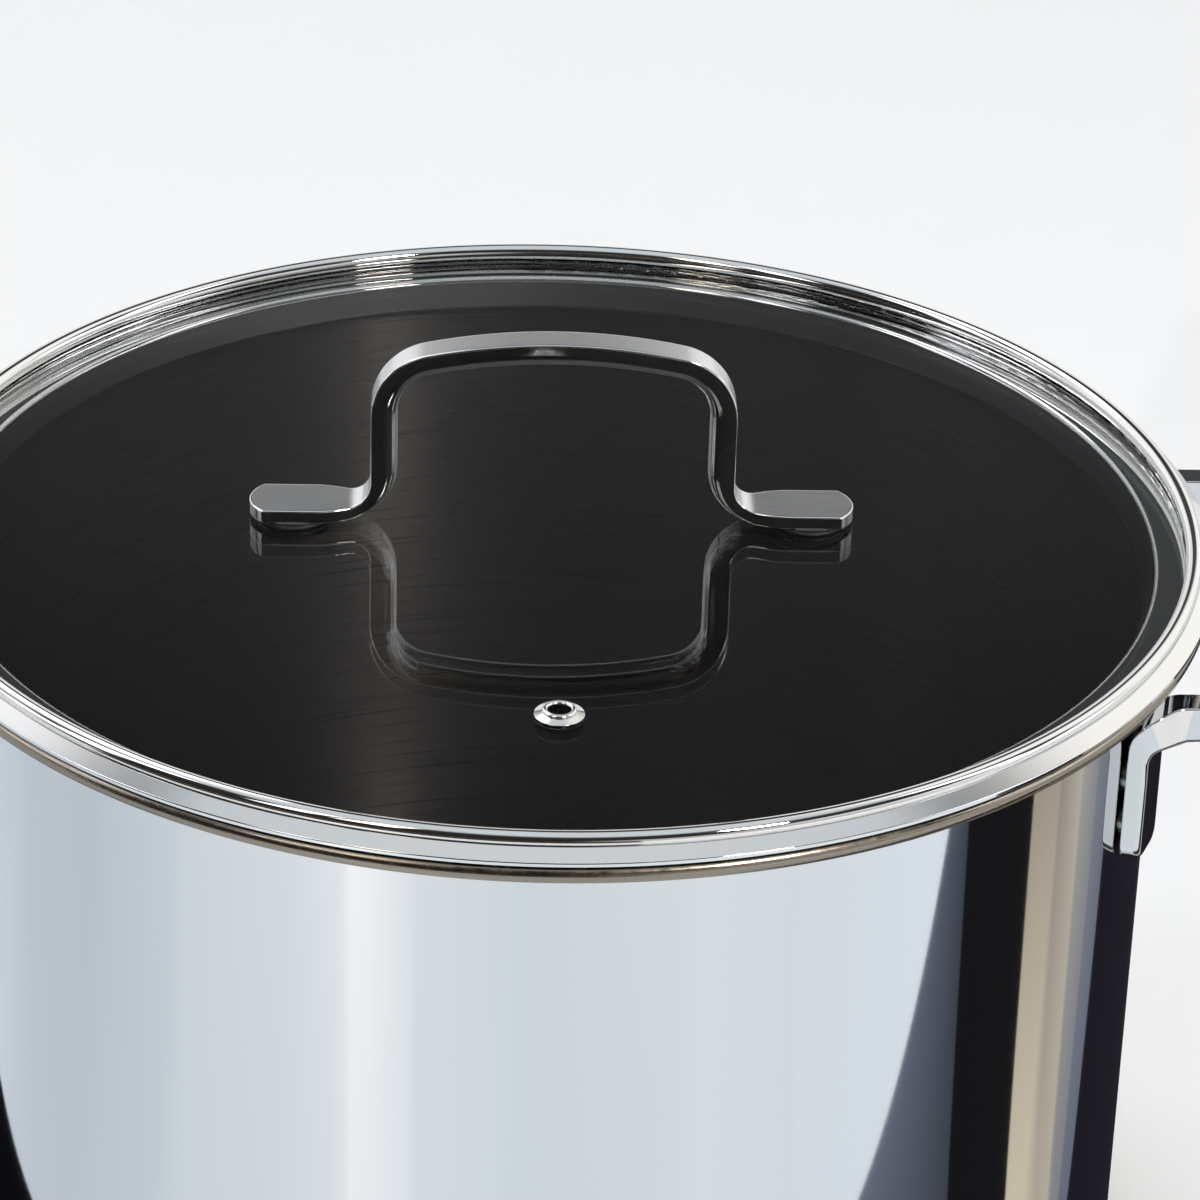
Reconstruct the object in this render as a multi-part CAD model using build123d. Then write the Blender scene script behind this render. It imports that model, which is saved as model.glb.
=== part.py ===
from build123d import *
import os
from math import asin, atan2, cos, degrees, radians, sin, sqrt

# Stainless stock pot with a flat tempered-glass lid.  Millimetres, +Z up.
# Origin: centre of the base's underside.  The side handles lie on the X axis.

# --- cooking pot -----------------------------------------------------------
POT_HEIGHT = 195.0           # base underside to the top of the rolled rim
BORE_RADIUS = 140.0          # inside radius of the pot
SHELL_SHEET = 1.0            # sheet thickness of wall, floor and rim
FLOOR_CORNER_RADIUS = 10.0   # outside radius where the wall meets the floor
SEAT_WIDTH = 7.5             # step from the bore out to the inner side of the rolled rim
SEAT_DEPTH = 2.25            # lid seat below the top of the rolled rim
SEAT_FLARE_RADIUS = 5.0      # inside radius where the wall turns out into the seat
RIM_ROLL_RADIUS = 2.0        # outside radius of the rolled rim's section
RIM_ROLL_ANGLE = 250.0       # how far the sheet curls round

# --- heat-spreading base ---------------------------------------------------
BASE_RADIUS = 122.0
BASE_CORE_THICKNESS = 5.0
BASE_CAP_SHEET = 0.8
BASE_EDGE_RADIUS = 2.6

# --- side handles ----------------------------------------------------------
SIDE_FOOT_ANGLE = 23.5       # each foot's angle either side of the X axis, degrees
SIDE_FOOT_WIDTH = 13.6
SIDE_FOOT_THICKNESS = 4.7
SIDE_FOOT_DROP = 56.8        # foot's lower end below the lid's crest plane
SIDE_FOOT_CORNER = 4.0
SIDE_BAR_DROP = 19.0         # bar's top below the lid's crest plane
SIDE_BAR_HEIGHT = 8.9
SIDE_BAR_WIDTH = 7.0
SIDE_BEND_RADIUS = 9.5       # wall-side radius of the bend from foot to bar
SIDE_UNDER_BEND_RADIUS = 3.5
SIDE_BAR_REACH = 181.0       # half the pot's width over both handles
SIDE_BAR_CORNER = 21.0       # outside corner radius of the bar in plan
SIDE_BAR_ROUNDING = 1.4      # rounding of the bar's lower edges
WELD_STANDOFF = 0.6          # foot stands off the wall by the height of its welds
WELD_RADIUS = 3.6
WELD_SPACING = 11.0
WELD_END_OFFSET = 7.5        # lower weld above the foot's lower end

# --- lid: glass and band ---------------------------------------------------
LID_SEAT_GAP = 0.3           # band's lower lip above the pot's seat
LID_SIDE_GAP = 0.5           # band's channel inside the rolled rim
BAND_SHEET = 0.5
GLASS_THICKNESS = 4.0
GLASS_EDGE_GAP = 0.2
GLASS_EDGE_RADIUS = 0.8
BAND_HEIGHT = 3.9            # band's crest above the glass
BAND_ROLL_RADIUS = 1.95
BAND_SEAM_ANGLE = 270.0      # where the roll's sheet turns down into the channel
FLANGE_REACH = 5.0           # flange beyond the channel
FLANGE_CREASE_DROP = 0.75    # crease between roll and flange below the roll's centre
FLANGE_FALL = 2.0
FLANGE_HEM = 0.8             # doubled sheet of the flange
FLANGE_LIP = 0.9             # height of the flange's turned-down edge
LIP_WIDTH = 9.1              # lower lip under the glass and its bend, inwards from the channel
LIP_BEND_RADIUS = 1.6        # outer radius of the bend from lip to skirt
SKIRT_DROP = 7.15            # locating skirt below the lip
SKIRT_LEAN = 18.0            # skirt leans in towards its lower edge, degrees
SKIRT_HEM = 1.1              # skirt's lower edge, folded back outwards
SKIRT_HEM_HEIGHT = 2.6

# --- lid handle ------------------------------------------------------------
HANDLE_LENGTH = 138.6        # tip to tip
HANDLE_LOOP_WIDTH = 83.2     # over the legs
HANDLE_RISE = 40.95          # top of the loop above the feet
HANDLE_ARCH_RADIUS = 140.0   # outside radius of the loop's top
HANDLE_BAR_THICKNESS = 6.2
HANDLE_BAR_WIDTH = 8.0
HANDLE_BAR_ROUNDING = 2.2
HANDLE_CORNER_RADIUS = 15.5  # outside corner of the loop
HANDLE_BEND_RADIUS = 5.5     # from the foot's top up the leg
HANDLE_UNDER_BEND_RADIUS = 12.0
FOOT_WIDTH = 14.2
FOOT_THICKNESS = 3.15
FOOT_TIP_RADIUS = 9.5        # the foot's rounded end in plan
FOOT_TAPER_LENGTH = 8.0      # foot narrows to the bar's width from here out beyond the leg
FOOT_NECK_INSET = 1.0        # the bar's own width begins this far inside the leg's outer face
FOOT_EDGE_BEVEL = 0.35

# --- lid handle fixings ----------------------------------------------------
FIXING_INSET = 10.0          # screw axis in from the foot's tip
WASHER_RADIUS = 8.2
WASHER_THICKNESS = 0.9
WASHER_ROUNDING = 0.35
BOSS_RADIUS = 8.0            # boss's plate under the foot
BOSS_THICKNESS = 0.4
BARREL_RADIUS = 3.2
GLASS_HOLE_GAP = 0.3         # barrel or eyelet inside its hole in the glass
BARREL_END_GAP = 0.3         # barrel stops above the glass's underside
SCREW_RADIUS = 2.0
SCREW_GAP = 0.15
CUP_RADIUS = 5.2
CUP_THICKNESS = 0.8
SCREW_HEAD_RADIUS = 3.8
SCREW_HEAD_HEIGHT = 2.2
SCREW_HEAD_ROUNDING = 1.3
SCREW_SLOT_WIDTH = 1.0
SCREW_SLOT_DEPTH = 0.9
SCREW_TIP_GAP = 0.5          # screw's tip below the handle's foot

# --- steam vent ------------------------------------------------------------
VENT_OFFSET = 92.3           # from the lid's axis towards the front
VENT_HOLE_RADIUS = 2.5
VENT_BARREL_RADIUS = 3.0
VENT_FLANGE_RADIUS = 5.45
VENT_FLANGE_EDGE = 0.25
VENT_COLLAR_RADIUS = 3.75    # foot of the raised ring round the hole
VENT_COLLAR_HEIGHT = 1.6
VENT_COLLAR_FOOT = 0.8       # height where the raised ring meets the flange
VENT_GASKET_RADIUS = 5.0
VENT_GASKET_THICKNESS = 0.2
VENT_RING_RADIUS = 5.4
VENT_RING_THICKNESS = 0.8
VENT_CURL_RADIUS = 4.3       # barrel's end, spread under the ring
VENT_CURL_THICKNESS = 0.6

TOUCH = 0.01                 # two measures this close count as the same

# --- levels and radii worked out from the sizes above ----------------------
shell_radius = BORE_RADIUS + SHELL_SHEET
floor_underside = BASE_CAP_SHEET + BASE_CORE_THICKNESS
seat_level = POT_HEIGHT - SEAT_DEPTH
rim_roll_centre = BORE_RADIUS + SEAT_WIDTH + RIM_ROLL_RADIUS
rim_roll_level = POT_HEIGHT - RIM_ROLL_RADIUS

lip_underside = seat_level + LID_SEAT_GAP
glass_underside = lip_underside + BAND_SHEET
glass_top = glass_underside + GLASS_THICKNESS
channel_radius = BORE_RADIUS + SEAT_WIDTH - LID_SIDE_GAP
glass_radius = channel_radius - BAND_SHEET - GLASS_EDGE_GAP
crest_level = glass_top + BAND_HEIGHT
band_roll_level = crest_level - BAND_ROLL_RADIUS

washer_top = glass_top + WASHER_THICKNESS
foot_underside = washer_top + BOSS_THICKNESS
foot_top = foot_underside + FOOT_THICKNESS
fixing_x = HANDLE_LENGTH / 2 - FIXING_INSET

side_foot_face = shell_radius + WELD_STANDOFF
side_foot_bottom = crest_level - SIDE_FOOT_DROP
side_bar_top = crest_level - SIDE_BAR_DROP
side_bar_underside = side_bar_top - SIDE_BAR_HEIGHT


def turned(*edges):
    """Solid of revolution about Z from a closed outline drawn as (radius, height)."""
    return revolve(Plane.XZ * make_face(edges), Axis.Z)


def turned_outline(*points):
    """Solid of revolution from a straight-sided outline."""
    return turned(*Polyline(*points, close=True).edges())


def disc(radius, low, high, bore=0.0):
    """Plain or bored disc on the Z axis between two heights."""
    solid = Pos(0, 0, (low + high) / 2) * Cylinder(radius, high - low)
    if bore > 0:
        solid -= Pos(0, 0, (low + high) / 2) * Cylinder(bore, high - low)
    return solid


def on_circle(centre, radius, angle):
    """Point on a circle at an angle in degrees."""
    return (centre[0] + radius * cos(radians(angle)), centre[1] + radius * sin(radians(angle)))


# --- pot -------------------------------------------------------------------
def make_pot_body():
    """Deep-drawn shell: floor, wall, flared lid seat and outward-rolled rim."""
    floor_inside = floor_underside + SHELL_SHEET
    corner_outside = (shell_radius - FLOOR_CORNER_RADIUS, floor_underside + FLOOR_CORNER_RADIUS)
    flare_centre = (BORE_RADIUS + SEAT_FLARE_RADIUS, seat_level - SEAT_FLARE_RADIUS)
    flare_outside = SEAT_FLARE_RADIUS - SHELL_SHEET
    roll_centre = (rim_roll_centre, rim_roll_level)
    roll_inside = RIM_ROLL_RADIUS - SHELL_SHEET
    roll_end = 180.0 - RIM_ROLL_ANGLE
    riser_inside = rim_roll_centre - RIM_ROLL_RADIUS
    riser_outside = riser_inside + SHELL_SHEET
    seat_underside = seat_level - SHELL_SHEET
    return turned(
        Line((0, floor_underside), (corner_outside[0], floor_underside)),
        CenterArc(corner_outside, FLOOR_CORNER_RADIUS, -90, 90),
        Line((shell_radius, corner_outside[1]), (shell_radius, flare_centre[1])),
        CenterArc(flare_centre, flare_outside, 180, -90),
        Line((flare_centre[0], seat_underside), (riser_outside - SHELL_SHEET, seat_underside)),
        CenterArc((riser_inside, seat_level), SHELL_SHEET, -90, 90),
        Line((riser_outside, seat_level), (riser_outside, rim_roll_level)),
        CenterArc(roll_centre, roll_inside, 180, -RIM_ROLL_ANGLE),
        Line(on_circle(roll_centre, roll_inside, roll_end),
             on_circle(roll_centre, RIM_ROLL_RADIUS, roll_end)),
        CenterArc(roll_centre, RIM_ROLL_RADIUS, roll_end, RIM_ROLL_ANGLE),
        Line((riser_inside, rim_roll_level), (riser_inside, seat_level)),
        Line((riser_inside, seat_level), (flare_centre[0], seat_level)),
        CenterArc(flare_centre, SEAT_FLARE_RADIUS, 90, 90),
        Line((BORE_RADIUS, flare_centre[1]), (BORE_RADIUS, corner_outside[1])),
        CenterArc(corner_outside, FLOOR_CORNER_RADIUS - SHELL_SHEET, 0, -90),
        Line((corner_outside[0], floor_inside), (0, floor_inside)),
        Line((0, floor_inside), (0, floor_underside)),
    )


def make_base_cap():
    """Shallow steel cup pressed over the aluminium core."""
    cup = disc(BASE_RADIUS, 0, floor_underside)
    cup = fillet(cup.edges().group_by(Axis.Z)[0], BASE_EDGE_RADIUS)
    hollow = disc(BASE_RADIUS - BASE_CAP_SHEET, BASE_CAP_SHEET, floor_underside)
    hollow = fillet(hollow.edges().group_by(Axis.Z)[0], BASE_EDGE_RADIUS - BASE_CAP_SHEET)
    return cup - hollow


def make_base_core():
    """Aluminium disc that spreads the heat."""
    core = disc(BASE_RADIUS - BASE_CAP_SHEET, BASE_CAP_SHEET, floor_underside)
    return fillet(core.edges().group_by(Axis.Z)[0], BASE_EDGE_RADIUS)


# --- side handles ----------------------------------------------------------
def side_foot_frame(side):
    """Frame on the wall at one foot: local X along the wall, local Z away from the pot."""
    angle = radians(side * SIDE_FOOT_ANGLE)
    outward = (cos(angle), sin(angle), 0)
    along = (-sin(angle), cos(angle), 0)
    centre = (side_foot_face * outward[0], side_foot_face * outward[1], side_foot_bottom)
    return Plane(origin=centre, x_dir=along, z_dir=outward)


def make_side_foot(side):
    """Flat foot, tangent to the wall: rounded below, narrowed to the bar above."""
    shoulder = side_bar_underside - SIDE_UNDER_BEND_RADIUS - side_foot_bottom
    top = side_bar_top - SIDE_BEND_RADIUS - side_foot_bottom
    half_foot = SIDE_FOOT_WIDTH / 2
    half_bar = SIDE_BAR_WIDTH / 2
    outline = make_face(Polyline(
        (-half_foot, 0), (half_foot, 0), (half_foot, shoulder), (half_bar, top), (-half_bar, top),
        (-half_foot, shoulder), close=True).edges())
    outline = fillet(outline.vertices().group_by(Axis.Y)[0], SIDE_FOOT_CORNER)
    return side_foot_frame(side) * extrude(outline, SIDE_FOOT_THICKNESS)


def make_side_handle():
    """Bar handle on the +X side: two feet, two bends and one level loop."""
    foot_x = side_foot_face * cos(radians(SIDE_FOOT_ANGLE))
    foot_y = side_foot_face * sin(radians(SIDE_FOOT_ANGLE))
    half_width = foot_y + SIDE_BAR_WIDTH / 2
    inner_half = half_width - SIDE_BAR_WIDTH
    # the bend starts clear of the wall over the bar's whole width
    bend_face = sqrt(side_foot_face ** 2 - inner_half ** 2)
    depth = SIDE_BAR_REACH - bend_face
    inner_corner = SIDE_BAR_CORNER - SIDE_BAR_WIDTH
    outer = Pos(bend_face + depth / 2, 0) * Rectangle(depth, 2 * half_width)
    outer = fillet(outer.vertices().group_by(Axis.X)[-1], SIDE_BAR_CORNER)
    inner_depth = depth - SIDE_BAR_WIDTH
    inner = Pos(bend_face + inner_depth / 2, 0) * Rectangle(inner_depth, 2 * inner_half)
    inner = fillet(inner.vertices().group_by(Axis.X)[-1], inner_corner)
    plan = extrude(Pos(0, 0, side_foot_bottom) * (outer - inner), crest_level - side_foot_bottom)
    foot_outside = bend_face + SIDE_FOOT_THICKNESS
    bend_bottom = side_bar_underside - SIDE_UNDER_BEND_RADIUS
    bend_top = side_bar_top - SIDE_BEND_RADIUS
    elevation = make_face([
        Line((bend_face, bend_bottom), (bend_face, bend_top)),
        CenterArc((bend_face + SIDE_BEND_RADIUS, bend_top), SIDE_BEND_RADIUS, 180, -90),
        Line((bend_face + SIDE_BEND_RADIUS, side_bar_top), (SIDE_BAR_REACH, side_bar_top)),
        Line((SIDE_BAR_REACH, side_bar_top), (SIDE_BAR_REACH, side_bar_underside)),
        Line((SIDE_BAR_REACH, side_bar_underside),
             (foot_outside + SIDE_UNDER_BEND_RADIUS, side_bar_underside)),
        CenterArc((foot_outside + SIDE_UNDER_BEND_RADIUS, bend_bottom), SIDE_UNDER_BEND_RADIUS, 90, 90),
        Line((foot_outside, bend_bottom), (bend_face, bend_bottom)),
    ])
    elevation = extrude(Plane.XZ * elevation, 2 * half_width, both=True)
    loop = plan & elevation
    lower_edges = [
        edge for edge in loop.edges()
        if abs(edge.center().Z - side_bar_underside) < TOUCH and edge.bounding_box().size.Z < TOUCH
        and edge.center().X > foot_outside + SIDE_UNDER_BEND_RADIUS + TOUCH
    ]
    loop = fillet(lower_edges, SIDE_BAR_ROUNDING)
    return loop + make_side_foot(1) + make_side_foot(-1)


def make_handle_welds():
    """Four weld buttons between the +X handle's feet and the wall."""
    welds = []
    for side in (-1, 1):
        frame = side_foot_frame(side)
        for step in (0, 1):
            height = WELD_END_OFFSET + step * WELD_SPACING
            button = Pos(0, height, -WELD_STANDOFF) * Cylinder(WELD_RADIUS, 2 * WELD_STANDOFF)
            welds.append((frame * button) - disc(shell_radius, 0, POT_HEIGHT))
    return Compound(welds)


# --- lid -------------------------------------------------------------------
def make_lid_glass():
    """Flat tempered disc with a ground edge, two screw holes and one vent hole."""
    glass = disc(glass_radius, glass_underside, glass_top)
    glass = fillet(glass.edges(), GLASS_EDGE_RADIUS)
    for side in (-1, 1):
        hole = disc(BARREL_RADIUS + GLASS_HOLE_GAP, glass_underside, glass_top)
        glass -= Pos(side * fixing_x, 0, 0) * hole
    vent = disc(VENT_BARREL_RADIUS + GLASS_HOLE_GAP, glass_underside, glass_top)
    return glass - Pos(0, -VENT_OFFSET, 0) * vent


def make_lid_band():
    """Sheet ring folded round the glass: roll, flange, channel, lip and skirt."""
    roll_centre = (channel_radius, band_roll_level)
    roll_inside = BAND_ROLL_RADIUS - BAND_SHEET
    roll_middle = BAND_ROLL_RADIUS - BAND_SHEET / 2
    crease_angle = -degrees(asin(FLANGE_CREASE_DROP / BAND_ROLL_RADIUS))
    root_angle = -degrees(asin((FLANGE_CREASE_DROP + FLANGE_HEM) / BAND_ROLL_RADIUS))
    curl = BAND_SEAM_ANGLE - root_angle
    roll = turned(
        CenterArc(roll_centre, BAND_ROLL_RADIUS, root_angle, curl),
        Line(on_circle(roll_centre, BAND_ROLL_RADIUS, BAND_SEAM_ANGLE),
             on_circle(roll_centre, roll_inside, BAND_SEAM_ANGLE)),
        CenterArc(roll_centre, roll_inside, root_angle, curl),
        Line(on_circle(roll_centre, roll_inside, root_angle),
             on_circle(roll_centre, BAND_ROLL_RADIUS, root_angle)),
    )
    roll_floor = band_roll_level - roll_middle
    wall = turned_outline(
        (channel_radius - BAND_SHEET, lip_underside), (channel_radius, lip_underside),
        (channel_radius, roll_floor), (channel_radius - BAND_SHEET, roll_floor))
    bend = (channel_radius - LIP_WIDTH + LIP_BEND_RADIUS, glass_underside - LIP_BEND_RADIUS)
    bend_inside = LIP_BEND_RADIUS - BAND_SHEET
    down = (-sin(radians(SKIRT_LEAN)), -cos(radians(SKIRT_LEAN)))
    face = on_circle(bend, LIP_BEND_RADIUS, 180 - SKIRT_LEAN)
    hem_radius = SKIRT_HEM / 2
    length = (face[1] - lip_underside + SKIRT_DROP - hem_radius * (1 - down[0])) / -down[1]

    def on_skirt(depth, along):
        """Point at a depth behind the skirt's inner face and a distance down it."""
        return (face[0] - down[1] * depth + down[0] * along, face[1] + down[0] * depth + down[1] * along)

    back = bend[0] + bend_inside * down[1], bend[1] - bend_inside * down[0]
    lip = turned(
        Line((channel_radius, glass_underside), (bend[0], glass_underside)),
        CenterArc(bend, LIP_BEND_RADIUS, 90, 90 - SKIRT_LEAN),
        Line(face, on_skirt(0, length)),
        CenterArc(on_skirt(hem_radius, length), hem_radius, 180 - SKIRT_LEAN, 180),
        Line(on_skirt(SKIRT_HEM, length), on_skirt(SKIRT_HEM, length - SKIRT_HEM_HEIGHT)),
        Line(on_skirt(SKIRT_HEM, length - SKIRT_HEM_HEIGHT), on_skirt(BAND_SHEET, length - SKIRT_HEM_HEIGHT)),
        Line(on_skirt(BAND_SHEET, length - SKIRT_HEM_HEIGHT), back),
        CenterArc(bend, bend_inside, 90, 90 - SKIRT_LEAN),
        Line((bend[0], lip_underside), (channel_radius, lip_underside)),
        Line((channel_radius, lip_underside), (channel_radius, glass_underside)),
    )
    crease = on_circle(roll_centre, BAND_ROLL_RADIUS, crease_angle)
    edge_radius = channel_radius + FLANGE_REACH
    shoulder = (edge_radius - FLANGE_HEM / 2, crease[1] - FLANGE_FALL + FLANGE_HEM / 2)
    edge_top = (edge_radius, crease[1] - FLANGE_FALL)
    edge_bottom = edge_top[1] - FLANGE_LIP
    flange = turned_outline(
        on_circle(roll_centre, roll_middle, root_angle), on_circle(roll_centre, roll_middle, crease_angle),
        crease, shoulder, edge_top, (edge_radius, edge_bottom), (edge_radius - FLANGE_HEM, edge_bottom),
        (edge_radius - FLANGE_HEM, edge_top[1] - FLANGE_HEM / 4))
    return roll + wall + lip + flange


def handle_elevation():
    """Front outline of the lid handle: arched bar, legs, bends and flat feet."""
    leg_out = HANDLE_LOOP_WIDTH / 2
    leg_in = leg_out - HANDLE_BAR_THICKNESS
    tip = HANDLE_LENGTH / 2
    loop_top = foot_top + HANDLE_RISE
    arch_in = HANDLE_ARCH_RADIUS - HANDLE_BAR_THICKNESS
    arch_level = loop_top - HANDLE_ARCH_RADIUS
    corner = HANDLE_CORNER_RADIUS
    inner_corner = corner - HANDLE_BAR_THICKNESS
    corner_x = leg_out - corner
    corner_rise = sqrt((HANDLE_ARCH_RADIUS - corner) ** 2 - corner_x ** 2)
    corner_level = arch_level + corner_rise
    corner_span = degrees(atan2(corner_rise, corner_x))
    bend_x = leg_out + HANDLE_BEND_RADIUS
    under_x = leg_in + HANDLE_UNDER_BEND_RADIUS
    under_level = foot_underside + HANDLE_UNDER_BEND_RADIUS
    half = [
        Line((corner_x + corner, corner_level), (leg_out, foot_top + HANDLE_BEND_RADIUS)),
        CenterArc((corner_x, corner_level), corner, 0, corner_span),
        CenterArc((bend_x, foot_top + HANDLE_BEND_RADIUS), HANDLE_BEND_RADIUS, 180, 90),
        Line((bend_x, foot_top), (tip, foot_top)),
        Line((tip, foot_top), (tip, foot_underside)),
        Line((tip, foot_underside), (under_x, foot_underside)),
        CenterArc((under_x, under_level), HANDLE_UNDER_BEND_RADIUS, -90, -90),
        Line((leg_in, under_level), (leg_in, corner_level)),
        CenterArc((corner_x, corner_level), inner_corner, 0, corner_span),
    ]
    other = [edge.mirror(Plane.YZ) for edge in half]
    arches = [CenterArc((0, arch_level), radius, corner_span, 180 - 2 * corner_span)
              for radius in (HANDLE_ARCH_RADIUS, arch_in)]
    return make_face(half + other + arches)


def handle_plan():
    """Plan outline of the lid handle: bar width at the loop, wide feet with a rounded end."""
    tip = HANDLE_LENGTH / 2
    foot_end = HANDLE_LOOP_WIDTH / 2 + FOOT_TAPER_LENGTH
    foot_half = FOOT_WIDTH / 2
    bar_half = HANDLE_BAR_WIDTH / 2
    neck = HANDLE_LOOP_WIDTH / 2 - FOOT_NECK_INSET
    round_x = tip - FOOT_TIP_RADIUS + sqrt(FOOT_TIP_RADIUS ** 2 - foot_half ** 2)
    right = [
        Spline((neck, bar_half), (foot_end, foot_half), tangents=((1, 0), (1, 0))),
        Line((foot_end, foot_half), (round_x, foot_half)),
        ThreePointArc((round_x, foot_half), (tip, 0), (round_x, -foot_half)),
        Line((round_x, -foot_half), (foot_end, -foot_half)),
        Spline((foot_end, -foot_half), (neck, -bar_half), tangents=((-1, 0), (-1, 0))),
    ]
    left = [edge.mirror(Plane.YZ) for edge in right]
    bars = [Line((-neck, bar_half), (neck, bar_half)), Line((-neck, -bar_half), (neck, -bar_half))]
    return make_face(right + left + bars)


def make_lid_handle():
    """Polished bar bent into an arch, its ends flattened into two feet."""
    front = extrude(Plane.XZ * handle_elevation(), FOOT_WIDTH, both=True)
    plan = extrude(Pos(0, 0, glass_top) * handle_plan(), 2 * HANDLE_RISE)
    handle = front & plan
    foot_edges = [
        edge for edge in handle.edges()
        if abs(edge.bounding_box().min.Z - foot_top) < TOUCH and edge.bounding_box().size.Z < TOUCH
        and abs(edge.center().X) > HANDLE_LOOP_WIDTH / 2 + HANDLE_BEND_RADIUS + TOUCH
    ]
    handle = chamfer(foot_edges, FOOT_EDGE_BEVEL)
    leg_inside = HANDLE_LOOP_WIDTH / 2 - HANDLE_BAR_THICKNESS
    inner_edges = [
        edge for edge in handle.edges()
        if abs(abs(edge.center().X) - leg_inside) < TOUCH and edge.bounding_box().size.X < TOUCH
        and edge.bounding_box().size.Y < TOUCH
    ]
    return fillet(inner_edges, HANDLE_BAR_ROUNDING)


def make_handle_boss(side):
    """Threaded boss welded under a foot; its barrel passes through the glass."""
    boss = disc(BOSS_RADIUS, washer_top, foot_underside)
    barrel = disc(BARREL_RADIUS, glass_underside + BARREL_END_GAP, washer_top)
    bore = disc(SCREW_RADIUS + SCREW_GAP, glass_underside, foot_underside)
    return Pos(side * fixing_x, 0, 0) * (boss + barrel - bore)


def make_handle_washer(side):
    """Silicone washer between boss and glass."""
    washer = disc(WASHER_RADIUS, glass_top, washer_top, BARREL_RADIUS + SCREW_GAP)
    outer_edges = washer.edges().filter_by(GeomType.CIRCLE).group_by(SortBy.RADIUS)[-1]
    return Pos(side * fixing_x, 0, 0) * fillet(outer_edges, WASHER_ROUNDING)


def make_under_washer(side):
    """Silicone washer under the glass."""
    low = glass_underside - WASHER_THICKNESS
    return Pos(side * fixing_x, 0, 0) * disc(WASHER_RADIUS, low, glass_underside, SCREW_RADIUS + SCREW_GAP)


def make_under_cup(side):
    """Steel washer that spreads the screw's load."""
    high = glass_underside - WASHER_THICKNESS
    cup = disc(CUP_RADIUS, high - CUP_THICKNESS, high, SCREW_RADIUS + SCREW_GAP)
    return Pos(side * fixing_x, 0, 0) * cup


def make_handle_screw(side):
    """Slotted round-head screw, driven up into the boss."""
    seat = glass_underside - WASHER_THICKNESS - CUP_THICKNESS
    head = disc(SCREW_HEAD_RADIUS, seat - SCREW_HEAD_HEIGHT, seat)
    head = fillet(head.edges().group_by(Axis.Z)[0], SCREW_HEAD_ROUNDING)
    slot_level = seat - SCREW_HEAD_HEIGHT + SCREW_SLOT_DEPTH / 2
    head -= Pos(0, 0, slot_level) * Box(2 * SCREW_HEAD_RADIUS, SCREW_SLOT_WIDTH, SCREW_SLOT_DEPTH)
    shank = disc(SCREW_RADIUS, seat, foot_underside - SCREW_TIP_GAP)
    return Pos(side * fixing_x, 0, 0) * (head + shank)


# --- steam vent ------------------------------------------------------------
def make_vent_eyelet():
    """Steel eyelet: flange, raised ring round the hole, barrel and spread end."""
    base = glass_top + VENT_GASKET_THICKNESS
    foot = base + VENT_COLLAR_FOOT
    crown = (VENT_HOLE_RADIUS + VENT_COLLAR_RADIUS) / 2
    curl_top = glass_underside - VENT_RING_THICKNESS
    curl_bottom = curl_top - VENT_CURL_THICKNESS
    eyelet = turned(
        Line((VENT_BARREL_RADIUS, base), (VENT_FLANGE_RADIUS, base)),
        Line((VENT_FLANGE_RADIUS, base), (VENT_FLANGE_RADIUS, base + VENT_FLANGE_EDGE)),
        Line((VENT_FLANGE_RADIUS, base + VENT_FLANGE_EDGE), (VENT_COLLAR_RADIUS, foot)),
        ThreePointArc((VENT_COLLAR_RADIUS, foot), (crown, base + VENT_COLLAR_HEIGHT),
                      (VENT_HOLE_RADIUS, foot)),
        Line((VENT_HOLE_RADIUS, foot), (VENT_HOLE_RADIUS, curl_bottom)),
        Line((VENT_HOLE_RADIUS, curl_bottom), (VENT_CURL_RADIUS, curl_bottom)),
        Line((VENT_CURL_RADIUS, curl_bottom), (VENT_CURL_RADIUS, curl_top)),
        Line((VENT_CURL_RADIUS, curl_top), (VENT_BARREL_RADIUS, curl_top)),
        Line((VENT_BARREL_RADIUS, curl_top), (VENT_BARREL_RADIUS, base)),
    )
    return Pos(0, -VENT_OFFSET, 0) * eyelet


def make_vent_gasket():
    """Thin silicone ring between the eyelet's flange and the glass."""
    gasket = disc(VENT_GASKET_RADIUS, glass_top, glass_top + VENT_GASKET_THICKNESS, VENT_BARREL_RADIUS)
    return Pos(0, -VENT_OFFSET, 0) * gasket


def make_vent_ring():
    """Steel washer under the glass that the eyelet's end is spread against."""
    ring = disc(VENT_RING_RADIUS, glass_underside - VENT_RING_THICKNESS, glass_underside, VENT_BARREL_RADIUS)
    return Pos(0, -VENT_OFFSET, 0) * ring


half_turn = Rot(0, 0, 180)
nodes = {
    "pot_body": make_pot_body(),
    "base_core": make_base_core(),
    "base_cap": make_base_cap(),
    "side_handle_right": make_side_handle(),
    "side_handle_left": half_turn * make_side_handle(),
    "handle_welds_right": make_handle_welds(),
    "handle_welds_left": half_turn * make_handle_welds(),
    "lid_glass": make_lid_glass(),
    "lid_band": make_lid_band(),
    "lid_handle": make_lid_handle(),
    "vent_eyelet": make_vent_eyelet(),
    "vent_gasket": make_vent_gasket(),
    "vent_ring": make_vent_ring(),
}
for name, side in (("left", -1), ("right", 1)):
    nodes["handle_boss_" + name] = make_handle_boss(side)
    nodes["handle_washer_" + name] = make_handle_washer(side)
    nodes["under_washer_" + name] = make_under_washer(side)
    nodes["under_cup_" + name] = make_under_cup(side)
    nodes["handle_screw_" + name] = make_handle_screw(side)

for node, solid in nodes.items():
    export_step(solid, "parts/" + node + ".step")
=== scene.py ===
from math import asin, atan2, ceil, cos, degrees, pi, radians, sin, sqrt, tan

import bmesh
import bpy
from bpy.props import FloatProperty, FloatVectorProperty, PointerProperty
from mathutils import Matrix, Vector


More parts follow.
